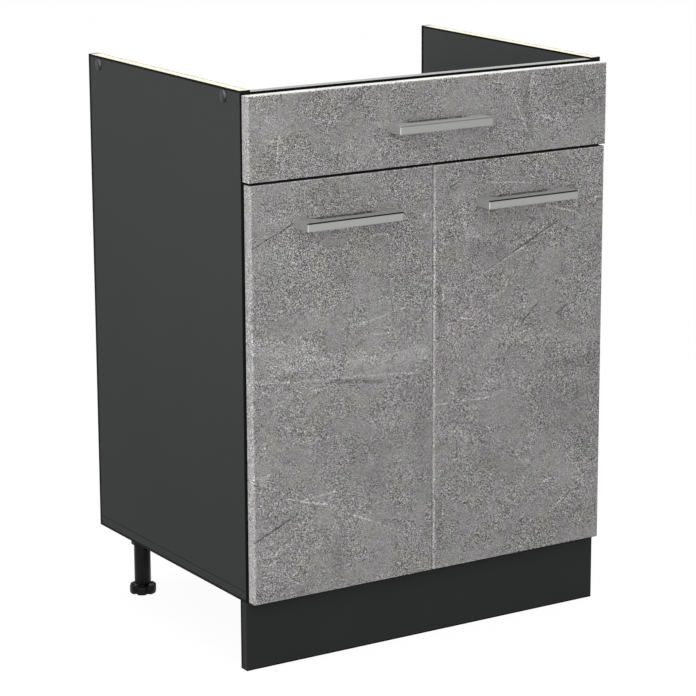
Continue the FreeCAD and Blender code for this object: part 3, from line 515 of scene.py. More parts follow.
class Decor(Enum):
    """The printed surfaces of the faced boards, by their tone in display steps."""

    ANTHRACITE = (57, 60, 59)
    DARK_PLINTH = (49, 50, 50)
    CONCRETE = (149, 148, 147)


@dataclass(frozen=True)
class PlainFacing:
    """A matt plain melamine facing with a faint pressed grain, and painted light that makes it lighter towards the
    top.
    """

    tone: Tone
    painted_light_factor: float
    height: Fade = (0.05, 0.85)
    painted_height_light: Fade = (0.80, 1.13)

    def surface(self, graph: Surface) -> tuple[Wire, Wire]:
        """The decor's look.

        Args:
            graph: The material's graph.

        Returns:
            Colour and relief.
        """
        # The cloud carries the board's painted light factor, which paints the whole facing lighter or darker.
        cloud = graph.noise(2.2, 3).remap(0.3, 0.7, 0.97 * self.painted_light_factor, 1.03 * self.painted_light_factor)
        # Painted light: the facing grows lighter with height.
        painted_height_light = graph.axes(graph.place)[2].remap(*self.height, *self.painted_height_light)
        pores = graph.noise(900, 2).remap(0.35, 0.65, 0.975, 1.025)
        flat = graph.blend(graph.noise(30, 3), shade(*self.tone), shade(*(part * 1.03 for part in self.tone)))
        return graph.scaled(flat, painted_height_light * cloud * pores), graph.noise(2600, 1) * 0.12


@dataclass(frozen=True)
class Chipboard:
    """The raw cut edge of chipboard: pale pressed chips between two dark skins."""

    chips: tuple[Tone, Tone] = ((240, 230, 204), (254, 252, 238))
    fine_chips: Tone = (253, 251, 236)
    bark: Tone = (146, 124, 92)
    skin: Tone = (96, 84, 62)
    far_skin: Tone = (150, 128, 96)
    chips_per_metre: float = 460
    core_starts: Fade = (2.2 * MM, 4.0 * MM)
    skin_depth: Fade = (0.45 * MM, 0.9 * MM)
    far_skin_depth: Fade = (1.6 * MM, 3.2 * MM)

    def surface(self, graph: Surface, through: Axis, box: Box) -> tuple[Wire, Wire]:
        """The cut edge's look.

        Args:
            graph: The material's graph.
            through: The axis that runs through the board's thickness.
            box: Lowest and highest corner of the board.

        Returns:
            Colour and relief.
        """
        share = graph.cells(self.chips_per_metre)[0]
        colour = graph.blend(share, shade(*self.chips[0]), shade(*self.chips[1]))
        dark = graph.noise(300, 3, 0.6).remap(0.58, 0.70) * graph.noise(45, 2).remap(0.42, 0.60)
        colour = graph.blend(dark * 0.7, colour, shade(*self.bark))
        depth = graph.rim([through], box)
        fine = graph.blend(0.7, colour, shade(*self.fine_chips))
        colour = graph.blend(depth.remap(*self.core_starts), fine, colour)
        broken = graph.noise(140, 2).remap(0.35, 0.6, 0.25, 1.0)
        skin = depth.remap(*self.skin_depth, 1.0, 0.0) * broken
        colour = graph.blend(skin, colour, shade(*self.skin))
        inward = box[1][through.value] - graph.axes(graph.place)[through.value]
        far_skin = inward.remap(*self.far_skin_depth, 0.85, 0.0) * broken
        return graph.blend(far_skin, colour, shade(*self.far_skin)), (share + graph.noise(1500, 2)) * 0.7


@dataclass(frozen=True)
class Concrete:
    """The concrete decor of the fronts: clouds, speckle in patches, wavy streaks, tints, stains and scratches, and
    painted shadow lines and pools of light from its marks.
    """

    tone: Tone
    shift: Offset
    marks: tuple[Mark, ...]
    grains_per_metre: float = 1050
    grit: float = 2.7
    dust_and_painted_shade: float = 3.8
    sparkle: float = 0.28
    clouding: float = 0.35
    middle: float = 1.04
    darkest: float = 0.25

    def speckle(self, graph: Surface, place: Wire) -> Wire:
        """Light and dark grains, denser in some patches.

        Args:
            graph: The material's graph.
            place: Coordinates of the pattern.

        Returns:
            What the grains add to the tone.
        """
        patch = graph.noise(15, 4, 0.7, graph.stretched((1, 1, 1), (self.shift[0] + 5, 2, 9)), 0.8)
        first, second, _ = graph.cells(self.grains_per_metre, place)
        sparkle = second.remap(0.84, 0.98, 0.0, 1.5) - second.remap(0.02, 0.14, 0.9, 0.0)
        grit = first - 0.5 + sparkle * self.sparkle
        dust_and_painted_shade = graph.noise(self.grains_per_metre, 1, 0.6, place) - 0.5
        return (grit * self.grit + dust_and_painted_shade * self.dust_and_painted_shade) * patch.remap(0.40, 0.60, 0.34, 1.12)

    def surface(self, graph: Surface) -> tuple[Wire, Wire]:
        """The decor's look.

        Args:
            graph: The material's graph.

        Returns:
            Colour and relief.
        """
        place = graph.stretched((1, 1, 1), self.shift)
        cloud = graph.noise(6, 3, 0.6, place, 0.8) - 0.5 + graph.noise(30, 4, 0.65, place, 0.6) - 0.5
        speckle = self.speckle(graph, place)
        wavy = graph.noise(1.0, 3, 0.6, graph.stretched((9, 9, 110), self.shift), 1.2) - 0.5
        bands = graph.noise(3.2, 1, 0.5, graph.stretched((0.4, 1, 1), self.shift)).remap(0.5, 0.72, 0.0, 0.6)
        total = (cloud * self.clouding + self.middle + speckle + wavy * bands).most(self.darkest)
        if self.marks:
            total = total * ((Marking(graph).product(self.marks) - 1.0) * graph.looks(Side.FRONT) + 1.0)
        hue = graph.noise(22, 2, 0.5, place)
        red, green, blue = self.tone
        colour = graph.blend(hue.remap(0.36, 0.5), shade(red, green + 1, blue), shade(red + 1, green - 1, blue + 1))
        colour = graph.blend(hue.remap(0.5, 0.64), colour, shade(red, green, blue - 2))
        return graph.scaled(colour, total), speckle + 0.5


@dataclass(frozen=True)
class BoardFinish:
    """A faced chipboard: its decor, the axis that its two faces look along, and how its edges are closed.

    Banded sides carry the decor, and pale ones a light edge of the given tone. Each side with an edge shade line
    carries a dark line of painted shade along its arris, of the given width in millimetres. Each side with painted
    side light has its edge face darkened by a factor below one, as painted shade, or lightened by one above one, as
    painted light.
    """

    name: str
    decor: Decor
    faces: Axis
    box: Box
    banded: tuple[Side, ...] = ()
    pale: tuple[tuple[Side, int], ...] = ()
    edge_shade_lines: tuple[tuple[Side, float], ...] = ()
    marks: tuple[Mark, ...] = ()
    painted_side_light: tuple[tuple[Side, float], ...] = ()
    shift: Offset = (0.0, 0.0, 0.0)
    # Painted light: a factor that makes the whole board lighter or darker.
    painted_light_factor: float = 1.0
    # Widths of the painted highlights along every arris and along the left border of the front face.
    arris_highlight_span: Fade = (0.5 * MM, 2.0 * MM)
    left_highlight_span: Fade = (1.6 * MM, 3.2 * MM)
    plain_rough: float = 0.5
    front_rough: float = 0.55
    raw_rough: float = 0.85
    specular: float = 0.06
    relief: float = 0.25 * MM

    def material(self) -> bpy.types.Material:
        """Makes the board's material.

        Returns:
            The material.
        """
        graph = Surface(self.name)
        colour, height, rough = self.front(graph) if self.decor is Decor.CONCRETE else self.plain(graph)
        skin = self.faced(graph)
        raw_colour, raw_height = Chipboard().surface(graph, self.faces, self.box)
        shown = graph.blend(skin, raw_colour, colour)
        for side, tone in self.pale:
            shown = graph.blend(graph.looks(side, 0.9) * graph.at_side(side, self.box), shown,
                                shade(tone, tone, tone - 2))
        # Paints a dark line of painted shade along the arris of each listed side.
        for side, width in self.edge_shade_lines:
            shown = graph.blend(self.line(graph, side, width * MM), shown, EDGE_SHADE_TONE)
        return graph.paint(shown, skin.remap(0, 1, self.raw_rough, rough),
                           height * skin + raw_height * (1.0 - skin), self.relief, specular=self.specular)

    def line(self, graph: Surface, side: Side, width: float) -> Wire:
        """One on the dark line of painted shade along a side, on the faces that meet that side, zero elsewhere.

        Args:
            graph: The material's graph.
            side: The side.
            width: Width of the line in metres.

        Returns:
            The mask.
        """
        away = abs(graph.axes(graph.place)[side.axis] - side.border(self.box))
        forward = abs(graph.axes(graph.normal)[side.axis])
        return away.remap(0.85 * width, 1.1 * width, 1.0, 0.0) * graph.calc("LESS_THAN", forward, 0.9)

    def faced(self, graph: Surface) -> Wire:
        """One on the decor's faces and on closed edges, zero on raw chipboard.

        Args:
            graph: The material's graph.

        Returns:
            The mask.
        """
        mask = graph.calc("GREATER_THAN", abs(graph.axes(graph.normal)[self.faces.value]), 0.4)
        for side in self.banded + tuple(side for side, _ in self.pale):
            mask = mask.most(graph.looks(side) * graph.at_side(side, self.box))
        return mask

    def plain(self, graph: Surface) -> tuple[Wire, Wire, float]:
        """Colour, relief and roughness of a plain board."""
        return *PlainFacing(self.decor.value, self.painted_light_factor).surface(graph), self.plain_rough

    def front(self, graph: Surface) -> tuple[Wire, Wire, float]:
        """The look of a front, with painted highlights along its arrises, strongest at the left border, and painted
        light on its edge faces.

        Args:
            graph: The material's graph.

        Returns:
            Colour, relief and roughness.
        """
        colour, height = Concrete(self.decor.value, self.shift, self.marks).surface(graph)
        dotted = graph.noise(700, 1).remap(0.35, 0.6, 0.1, 0.85)
        rim = graph.rim([axis for axis in Axis if axis is not self.faces], self.box)
        # Painted highlight along every arris of the front face, broken by noise.
        arris = dotted * rim.remap(*self.arris_highlight_span, 1.0, 0.0) + 1.0
        # Painted light: the edge faces, which do not look along the board's faces, are made 1.4 times lighter.
        edges = abs(graph.axes(graph.normal)[self.faces.value]).remap(0.6, 0.9, 1.4, 1.0)
        # Painted highlight along the left border of the front face.
        inward = graph.axes(graph.place)[0] - Side.LEFT.border(self.box)
        left_highlight = inward.remap(*self.left_highlight_span, 1.0, 0.0) * dotted.remap(0.1, 0.85, 0.18, 0.55)
        factor = arris.most(edges).most(left_highlight * graph.looks(Side.FRONT) + 1.0)
        # Painted shade or painted light on the edge faces of chosen sides, as a factor.
        for side, share in self.painted_side_light:
            factor = factor * graph.looks(side, 0.8).remap(0.0, 1.0, 1.0, share)
        return graph.scaled(colour, factor), height, self.front_rough


@dataclass(frozen=True)
class MetalFinish:
    """A plated or cast metal with a fine uneven sheen."""

    name: str
    tone: Tone
    rough: float
    grain: float = 900.0
    relief: float = 0.02 * MM

    def material(self) -> bpy.types.Material:
        """Makes the metal's material.

        Returns:
            The material.
        """
        graph = Surface(self.name)
        lines = graph.noise(1.0, 3, 0.6, graph.stretched([self.grain] * 3))
        cloud = graph.noise(40, 3, 0.55)
        flat = graph.blend(lines, shade(*self.tone), shade(*(min(255.0, part * 1.05) for part in self.tone)))
        return graph.paint(graph.scaled(flat, cloud.remap(0.3, 0.7, 0.93, 1.05)),
                           (lines + cloud).remap(0.6, 1.4, self.rough - 0.05, self.rough + 0.06),
                           lines, self.relief, metallic=1.0)


@dataclass(frozen=True)
class HandleFinish:
    """Satin metal of a strap handle, with painted shade along the bar's upper front arris, painted highlights on its
    end arrises, and a painted light factor for each way a face looks.
    """

    name: str
    box: Box
    # The strength of the painted shade line on the upper arris, and the painted light factor of the forward faces.
    painted_upper_shade: float
    painted_front_light: float
    tone: Tone = (161, 161, 160)
    end_highlight_tone: Tone = (196, 198, 196)
    upper_shade_tone: Tone = (8, 8, 8)
    front_depth: float = 1.2 * MM
    upper_arris: float = 2.0 * MM
    left_arris: float = 1.1 * MM
    right_arris: float = 0.8 * MM
    metallic: float = 0.4
    specular: float = 0.25
    relief: float = 0.02 * MM

    def material(self) -> bpy.types.Material:
        """Makes the handle's material.

        Returns:
            The material.
        """
        graph = Surface(self.name)
        lines = graph.noise(1.0, 3, 0.6, graph.stretched((30.0, 2200.0, 2200.0)))
        colour = graph.blend(lines, shade(*self.tone), shade(*(part * 1.04 for part in self.tone)))
        front = graph.at_side(Side.FRONT, self.box, self.front_depth)
        # Painted light: faces that do not look forward are made 1.12 times lighter, and forward ones take the
        # handle's own factor.
        colour = graph.scaled(colour, graph.looks(Side.FRONT, 0.8).remap(0.0, 1.0, 1.12, self.painted_front_light))
        # Painted highlights along the end arrises of the front face.
        ends = graph.at_side(Side.LEFT, self.box, self.left_arris)
        ends = ends.most(graph.at_side(Side.RIGHT, self.box, self.right_arris))
        colour = graph.blend(front * ends, colour, shade(*self.end_highlight_tone))
        # Painted shade along the bar's upper front arris.
        upper = graph.at_side(Side.TOP, self.box, self.upper_arris) * front
        colour = graph.blend(upper * self.painted_upper_shade, colour, shade(*self.upper_shade_tone))
        return graph.paint(colour, lines.remap(0.3, 0.7, 0.38, 0.48), lines, self.relief,
                           metallic=self.metallic, specular=self.specular)


@dataclass(frozen=True)
class PlasticFinish:
    """A moulded plastic with a fine spark-eroded grain."""

    name: str
    tone: Tone
    rough: float
    specular: float
    grain: float = 1400.0
    clear: float = 0.0
    relief: float = 0.03 * MM

    def material(self) -> bpy.types.Material:
        """Makes the plastic's material.

        Returns:
            The material.
        """
        graph = Surface(self.name)
        grain = graph.noise(self.grain, 2)
        cloud = graph.noise(25, 2)
        flat = graph.blend(cloud, shade(*self.tone), shade(*(part * 1.12 + 1 for part in self.tone)))
        return graph.paint(graph.scaled(flat, grain.remap(0.3, 0.7, 0.94, 1.06)),
                           cloud.remap(0.3, 0.7, self.rough - 0.04, self.rough + 0.05), grain, self.relief,
                           specular=self.specular, clear=self.clear)


@dataclass(frozen=True)
class CapFinish:
    """Anthracite cover cap with a painted highlight on its upper front, and painted shade on its lower front and its
    side wall.
    """

    name: str = "anthracite_cap"
    tones: tuple[Tone, Tone] = ((58, 61, 60), (61, 64, 63))
    grain: float = 1400.0
    specular: float = 0.12
    relief: float = 0.02 * MM

    def material(self) -> bpy.types.Material:
        """Makes the cap's material.

        Returns:
            The material.
        """
        graph = Surface(self.name)
        across, along, up = graph.axes(graph.normal)
        upright = abs(across).remap(0.3, 0.5, 1.0, 0.0)
        # Painted highlight on the upper front of the dome.
        painted_rim_highlight = (up * 0.6 - along * 0.8).remap(0.16, 0.30, 0.0, 3.0) * (1.0 - upright)
        # Painted shade on the lower front of the dome.
        dust_and_painted_shade = (up * 0.8 + along * 0.5).remap(-0.30, -0.16, 0.75, 0.0)
        # Painted shade on the cap's side wall where it does not look up.
        painted_wall_shade = up.remap(0.1, 0.6, 0.9, 0.0) * upright
        grain = graph.noise(self.grain, 2)
        pores = grain.remap(0.3, 0.7, 0.96, 1.04)
        factor = (painted_rim_highlight + 1.0) * (1.0 - painted_wall_shade.most(dust_and_painted_shade)) * pores
        colour = graph.blend(graph.noise(60, 2), *(shade(*tone) for tone in self.tones))
        return graph.paint(graph.scaled(colour, factor), pores.remap(0.96, 1.04, 0.36, 0.44), grain, self.relief,
                           specular=self.specular)


@dataclass(frozen=True)
class DowelFinish:
    """Fluted beech."""

    name: str = "beech_dowel"
    tones: tuple[Tone, Tone] = ((196, 160, 112), (226, 196, 150))
    relief: float = 0.1 * MM

    def material(self) -> bpy.types.Material:
        """Makes the dowel's material.

        Returns:
            The material.
        """
        graph = Surface(self.name)
        grain = graph.noise(1.0, 4, 0.6, graph.stretched((60, 1400, 1400)))
        colour = graph.blend(grain, *(shade(*tone) for tone in self.tones))
        return graph.paint(colour, grain.remap(0, 1, 0.6, 0.75), grain, self.relief)


def dress(node: bpy.types.Object, material: bpy.types.Material, arris: float) -> None:
    """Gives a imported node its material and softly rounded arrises.

    Args:
        node: The node's object.
        material: Its material.
        arris: Width of the rounding in metres.
    """
    node.data.materials.clear()
    node.data.materials.append(material)
    if arris > 0:
        weld = node.modifiers.new("weld", "WELD")
        weld.merge_threshold = WELD
        bevel = node.modifiers.new("arris", "BEVEL")
        bevel.width = arris
        bevel.segments = 2
        bevel.limit_method = "ANGLE"
        bevel.angle_limit = ARRIS_ANGLE
        bevel.harden_normals = True
        bevel.use_clamp_overlap = True
    LOG.info("dressed %s with %s", node.name, material.name)


FALSE_FRONT_MARKS = (
    # The first mark, a dark line just above the handle bar, is a painted shadow of the slot behind the bar.
    Mark(-52, 756.9, 46, 756.9, 2.4, 0.4), Mark(-145, 786, -104, 811, 1.4, 0.5),
    Mark(-177, 765, -145, 786, 1.5, 1.45), Mark(-158, 769, -154, 769, 2.0, 1.5), Mark(-252, 754, -255, 706, 1.6, 1.5),
    Mark(-272, 753, -262, 750, 2.4, 1.4), Mark(166, 806, 164, 768, 1.5, 1.65), Mark(132, 784, 150, 747, 1.5, 1.45),
    Mark(150, 747, 170, 706, 1.4, 1.6), Mark(181, 748, 227, 731, 1.4, 1.55), Mark(189, 762, 193, 736, 1.4, 1.5),
    Mark(-94, 757, -80, 758, 7, 1.18), Mark(-270, 790, -255, 760, 30, 1.12), Mark(-140, 730, -70, 725, 34, 1.1),
    Mark(-40, 735, 60, 733, 22, 1.1), Mark(14, 777, 18, 777, 13, 1.08), Mark(160, 800, 160, 770, 10, 0.78),
    Mark(162, 752, 164, 715, 10, 0.85), Mark(-258, 735, -262, 712, 12, 0.85), Mark(220, 790, 280, 760, 40, 0.9),
    Mark(-200, 800, -130, 785, 26, 0.92),
)
LEFT_DOOR_MARKS = (
    # The first mark, a dark line just above the handle bar, is a painted shadow of the slot behind the bar.
    Mark(-201, 637.9, -103, 637.9, 2.4, 0.4), Mark(-294, 607, -227, 636, 1.35, 0.42),
    Mark(-297, 192.5, -225, 223.5, 1.6, 0.3), Mark(-218, 240, -179, 230, 2.0, 1.6),
    Mark(-218, 241, -163, 247, 1.6, 1.6), Mark(-241, 248, -218, 240, 1.4, 1.55), Mark(-163, 247, -136, 252, 1.4, 0.6),
    Mark(-179, 230, -132, 206, 1.2, 1.3), Mark(-133, 206, -104, 194, 2.0, 1.6), Mark(-104, 194, -64, 173, 1.2, 1.3),
    Mark(-299, 284, -272, 285, 2.4, 1.4), Mark(-298, 268, -282, 261, 2.2, 1.35), Mark(-127, 482, -105, 484, 2.4, 1.5),
    Mark(-105, 484, -12, 505, 1.3, 1.42), Mark(-100, 464, -63, 462, 1.3, 1.4), Mark(-77, 492, -62, 452, 1.2, 1.3),
    Mark(-104, 606, -77, 604, 1.6, 1.55), Mark(-77, 604, -59, 587, 1.6, 1.55), Mark(-17, 627, -12, 613, 1.4, 1.6),
    Mark(-299, 422, -240, 414, 3.4, 1.3), Mark(-240, 414, -150, 409, 2.4, 1.32), Mark(-150, 409, -22, 399, 2.2, 1.3),
    Mark(-168, 406, -86, 394, 3.6, 0.7), Mark(-290, 466, -215, 456, 26, 1.24), Mark(-240, 437, -14, 428, 15, 1.22),
    Mark(-300, 440, -230, 433, 14, 1.14), Mark(-300, 403, -190, 397, 10, 1.14), Mark(-190, 418, -20, 412, 9, 1.1),
    # The first mark on the next line, at 618 mm below the handle, is a painted pool of light that lifts the handle's
    # shadow.
    Mark(-200, 618, -55, 617, 13, 1.09), Mark(-280, 640, -235, 640, 14, 1.12), Mark(-270, 600, -190, 590, 34, 1.08),
    Mark(-190, 675, -105, 668, 24, 0.92), Mark(-150, 320, -100, 260, 50, 0.92), Mark(-130, 300, -30, 308, 26, 0.92),
    Mark(-20, 340, -15, 220, 26, 0.9), Mark(-275, 200, -230, 130, 34, 1.07), Mark(-160, 180, -160, 130, 16, 0.86),
    Mark(-158, 566, -150, 548, 18, 0.88), Mark(-232, 330, -205, 322, 8, 1.14),
)
RIGHT_DOOR_MARKS = (
    # The first mark, a dark line just above the handle bar, is a painted shadow of the slot behind the bar.
    Mark(97, 637.9, 195, 637.9, 2.4, 0.4), Mark(138, 555.5, 214, 591, 1.5, 0.38), Mark(92, 534, 138, 555.5, 1.4, 0.7),
    Mark(88, 529, 160, 562, 1.3, 1.5), Mark(195, 616, 245, 602, 1.6, 1.65), Mark(86, 661, 168, 652, 1.5, 1.5),
    Mark(245, 602, 245, 589, 1.35, 0.4), Mark(18, 520, 17, 495, 1.5, 1.6), Mark(45, 470, 68, 464, 1.4, 1.6),
    Mark(26, 482, 24, 447, 1.3, 1.3), Mark(156, 452, 186, 478, 1.35, 0.5), Mark(214, 454, 234, 465, 1.35, 0.45),
    Mark(0, 347.5, 105, 345, 1.6, 1.4), Mark(41, 288, 41, 266, 1.5, 0.6), Mark(18, 204, 17, 177, 1.4, 1.4),
    Mark(200, 150, 232, 173, 1.4, 1.4), Mark(150, 242, 168, 240, 3.4, 1.35), Mark(193, 205, 207, 204, 3.6, 1.35),
    Mark(40, 645, 62, 600, 15, 1.12), Mark(56, 590, 76, 584, 8, 1.15), Mark(54, 586, 54, 548, 7, 1.12),
    # The last mark on the next line, at 618 mm below the handle, is a painted pool of light that lifts the handle's
    # shadow.
    Mark(76, 564, 116, 556, 24, 0.88), Mark(9, 518, 9, 474, 7, 0.7), Mark(96, 618, 245, 617, 13, 1.09),
    Mark(112, 436, 158, 428, 18, 1.1), Mark(182, 418, 290, 411, 18, 1.11), Mark(205, 374, 292, 376, 16, 0.84),
    Mark(180, 335, 290, 320, 28, 0.9), Mark(230, 300, 280, 250, 40, 0.87), Mark(40, 150, 240, 120, 70, 0.95),
    Mark(100, 372, 150, 362, 22, 1.09), Mark(24, 306, 60, 292, 9, 1.14), Mark(54, 290, 55, 245, 10, 1.13),
    Mark(11, 208, 11, 142, 7, 0.82), Mark(90, 262, 140, 225, 28, 0.9), Mark(180, 220, 260, 210, 30, 1.05),
)


@dataclass
class Skin:
    """Points and faces of one new piece, gathered ring by ring."""

    name: str
    points: list[Vector] = field(default_factory=list)
    faces: list[tuple[int, ...]] = field(default_factory=list)
    sharp_angle: float = math.radians(32)

    def ring(self, place: Matrix, height: float, radii: Sequence[float]) -> list[int]:
        """Adds a ring of points around the upright axis of a frame.

        Args:
            place: The frame.
            height: Height along its axis.
            radii: Distance from the axis at each of the evenly spread directions.

        Returns:
            The numbers of the ring's points.
        """
        first = len(self.points)
        step = 2 * math.pi / len(radii)
        for index, radius in enumerate(radii):
            across = Vector((radius * math.cos(index * step), radius * math.sin(index * step), height))
            self.points.append(place @ across)
        return list(range(first, len(self.points)))

    def band(self, low: Sequence[int], high: Sequence[int]) -> None:
        """Joins two rings of equal count, the lower or inner one first, so that the faces look outward.

        Args:
            low: The first ring.
            high: The second ring.
        """
        for index, point in enumerate(low):
            after = (index + 1) % len(low)
            self.faces.append((point, low[after], high[after], high[index]))

    def stack(self, rings: Sequence[Sequence[int]]) -> None:
        """Joins each ring to the next one."""
        for low, high in zip(rings, rings[1:]):
            self.band(low, high)

    def lid(self, ring: Sequence[int], upward: bool = True) -> None:
        """Closes a ring with one face."""
        self.faces.append(tuple(ring) if upward else tuple(reversed(ring)))

    def piece(self, material: bpy.types.Material, body: str, replaced: str) -> None:
        """Makes the object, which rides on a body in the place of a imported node.

        Args:
            material: Its material.
            body: The body it moves with.
            replaced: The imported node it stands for.
        """
        mesh = bpy.data.meshes.new(self.name)
        mesh.from_pydata(self.points, [], self.faces)
        mesh.validate()
        mesh.shade_smooth()
        mesh.set_sharp_from_angle(angle=self.sharp_angle)
        mesh.materials.append(material)
        made = bpy.data.objects.new(self.name, mesh)
        bpy.context.scene.collection.objects.link(made)
        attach(made, body)
        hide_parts(replaced)
        LOG.info("built %s with %d points", self.name, len(self.points))


def solids(node: bpy.types.Object) -> list[list[Vector]]:
    """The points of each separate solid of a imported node.

    Args:
        node: The node's object.

    Returns:
        One list of points for each solid.
    """
    mesh = bmesh.new()
    mesh.from_mesh(node.data)
    bmesh.ops.remove_doubles(mesh, verts=mesh.verts[:], dist=JOINED)
    mesh.verts.index_update()
    seen: set[int] = set()
    found: list[list[Vector]] = []
    for first in mesh.verts:
        if first.index in seen:
            continue
        seen.add(first.index)
        waiting, points = [first], []
        while waiting:
            vertex = waiting.pop()
            points.append(vertex.co.copy())
            for edge in vertex.link_edges:
                other = edge.other_vert(vertex)
                if other.index not in seen:
                    seen.add(other.index)
                    waiting.append(other)
        found.append(points)
    mesh.free()
    return found


def span(points: Sequence[Vector]) -> Box:
    """The lowest and the highest corner of some points."""
    return (Vector([min(point[index] for point in points) for index in range(3)]),
            Vector([max(point[index] for point in points) for index in range(3)]))


def aside(point: Vector, middle: Vector, axis: int) -> float:
    """The distance of a point from a line through a middle along a world axis.

    Args:
        point: The point.
        middle: A place on the line.
        axis: Index of the world axis.

    Returns:
        The distance.
    """
    offset = point - middle
    offset[axis] = 0
    return offset.length


def facing(middle: Vector, axis: int, outward: int, top: float) -> Matrix:
    """A frame whose +Z looks outward along a world axis.

    Args:
        middle: A place on the frame's own axis.
        axis: Index of the world axis.
        outward: One to look along that axis, minus one to look against it.
        top: Where the frame's origin lies on that axis.

    Returns:
        The frame.
    """
    origin = middle.copy()
    origin[axis] = top
    direction = Vector((0, 0, 0))
    direction[axis] = outward
    return Matrix.Translation(origin) @ direction.to_track_quat("Z", "Y").to_matrix().to_4x4()


class Thread(Enum):
    """A kind of screw, by the rise of its thread per turn in metres."""

    WOOD = 1.8 * MM
    MACHINE = 0.8 * MM


@dataclass(frozen=True)
class Fastener:
    """One screw or cam: where it sits, its sizes and its shape. Its head looks along +Z of its own frame.

    The sizes and the neck are in metres, the angle in degrees. The other values are shares: of the pitch for the
    thread, of the shank's radius for the tip, and of the head for its crown and recess.
    """

    place: Matrix
    length: float
    head: float
    shank: float
    head_height: float
    segments: int = 24
    neck: float = 0.6 * MM
    thread_depth: float = 0.5
    ridge: float = 0.28
    steps_per_turn: int = 4
    tip: float = 0.35
    tip_taper: float = 1.8
    crown_height: float = 0.6
    crown_width: float = 0.24
    recess_depth: float = 0.62
    arm_reach: float = 0.56
    arm_angle: float = 15
    recess_taper: float = 0.8

    @classmethod
    def screw(cls, points: Sequence[Vector]) -> Fastener:
        """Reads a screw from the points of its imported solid, along whose longest side it lies.

        Args:
            points: The solid's points.

        Returns:
            The screw.
        """
        low, high = span(points)
        size = high - low
        axis = max(range(3), key=lambda index: size[index])
        middle = (low + high) / 2
        ends = []
        for end in (low[axis], high[axis]):
            ends.append(max(aside(point, middle, axis) for point in points if abs(point[axis] - end) < LEVEL))
        outward = -1 if ends[0] > ends[1] else 1
        top = low[axis] if outward < 0 else high[axis]
        seat = max(abs(point[axis] - top) for point in points if aside(point, middle, axis) > 0.95 * max(ends))
        return cls(facing(middle, axis, outward, top), size[axis], max(ends), min(ends), seat)

    @classmethod
    def cam(cls, points: Sequence[Vector]) -> Fastener:
        """Reads a cam lock, which lies along Y with its slotted face to the rear.

        Args:
            points: The solid's points.

        Returns:
            The cam lock.
        """
        low, high = span(points)
        depth = high[1] - low[1]
        return cls(facing((low + high) / 2, 1, 1, high[1]), depth, (high[2] - low[2]) / 2, 0.0, depth)

    def circle(self, skin: Skin, height: float, radius: float) -> list[int]:
        """Adds a round ring at a height of its frame to a skin."""
        return skin.ring(self.place, height, [radius] * self.segments)

    def build_screw(self, skin: Skin, thread: Thread) -> None:
        """Adds the screw to a skin.

        Args:
            skin: The skin.
            thread: The kind of its thread.
        """
        pitch = thread.value
        depth = self.thread_depth * pitch
        root = self.shank - 0.5 * depth
        thread_top = -self.head_height - self.neck
        count = max(8, round((self.length + thread_top) / (pitch / self.steps_per_turn)))
        rings = []
        for index in range(count + 1):
            height = -self.length + (self.length + thread_top) * index / count
            taper = min(1.0, self.tip + (height + self.length) / (self.tip_taper * self.shank))
            radii = []
            for step in range(self.segments):
                phase = (height / pitch + step / self.segments) % 1.0
                ridge = max(0.0, 1.0 - abs(phase - 0.5) / self.ridge)
                radii.append((root - 0.5 * depth + depth * ridge) * taper)
            rings.append(skin.ring(self.place, height, radii))
        rings.append(self.circle(skin, -self.head_height, self.shank))
        rings.append(self.circle(skin, -self.head_height, self.head))
        skin.lid(rings[0], False)
        skin.stack(rings)
        self.close(skin, rings[-1], self.crown_height * self.head_height, self.recess_depth * self.head_height)

    def build_cam(self, skin: Skin, chamfer: float = 0.4 * MM, crown: float = 0.5 * MM,
                  recess: float = 2.6 * MM) -> None:
        """Adds the cam lock to a skin.

        Args:
            skin: The skin.
            chamfer: Width of the chamfer at its inner end.
            crown: Height of the rounded border.
            recess: Depth of the cross recess.
        """
        under = self.circle(skin, -self.length, self.head - chamfer)
        wall = self.circle(skin, -self.length + chamfer, self.head)
        skin.lid(under, False)
        skin.band(under, wall)
        self.close(skin, wall, crown, recess)

    def close(self, skin: Skin, wall: Sequence[int], crown: float, depth: float) -> None:
        """Closes a wall with a rounded crown and a cross recess.

        Args:
            skin: The skin.
            wall: The ring below the crown.
            crown: Height of the rounded border.
            depth: Depth of the recess.
        """
        inset = min(crown, self.crown_width * self.head)
        rim = self.circle(skin, 0.0, self.head - inset)
        skin.stack([wall, self.circle(skin, -crown, self.head),
                    self.circle(skin, -0.3 * crown, self.head - 0.3 * inset), rim])
        reach = self.arm_reach * self.head
        narrow = reach * math.tan(math.radians(self.arm_angle))
        far = math.hypot(reach, narrow)
        arm = ((-self.arm_angle, far), (self.arm_angle, far), (45, narrow * math.sqrt(2)))
        outline = [(math.radians(quarter + turn), away) for quarter in (0, 90, 180, 270) for turn, away in arm]
        top, floor = [], []
        for height, factor, ring in ((0.0, 1.0, top), (-depth, self.recess_taper, floor)):
            for angle, away in outline:
                ring.append(len(skin.points))
                skin.points.append(self.place @ Vector((away * factor * math.cos(angle),
                                                        away * factor * math.sin(angle), height)))
        for index in range(len(top)):
            start = (index // 3) * 6 + (-1, 1, 3)[index % 3]
            arc = [rim[(start + step) % self.segments] for step in range(3)]
            skin.faces.append((*arc, top[(index + 1) % len(top)], top[index]))
        skin.band(top, floor)
        skin.lid(floor)


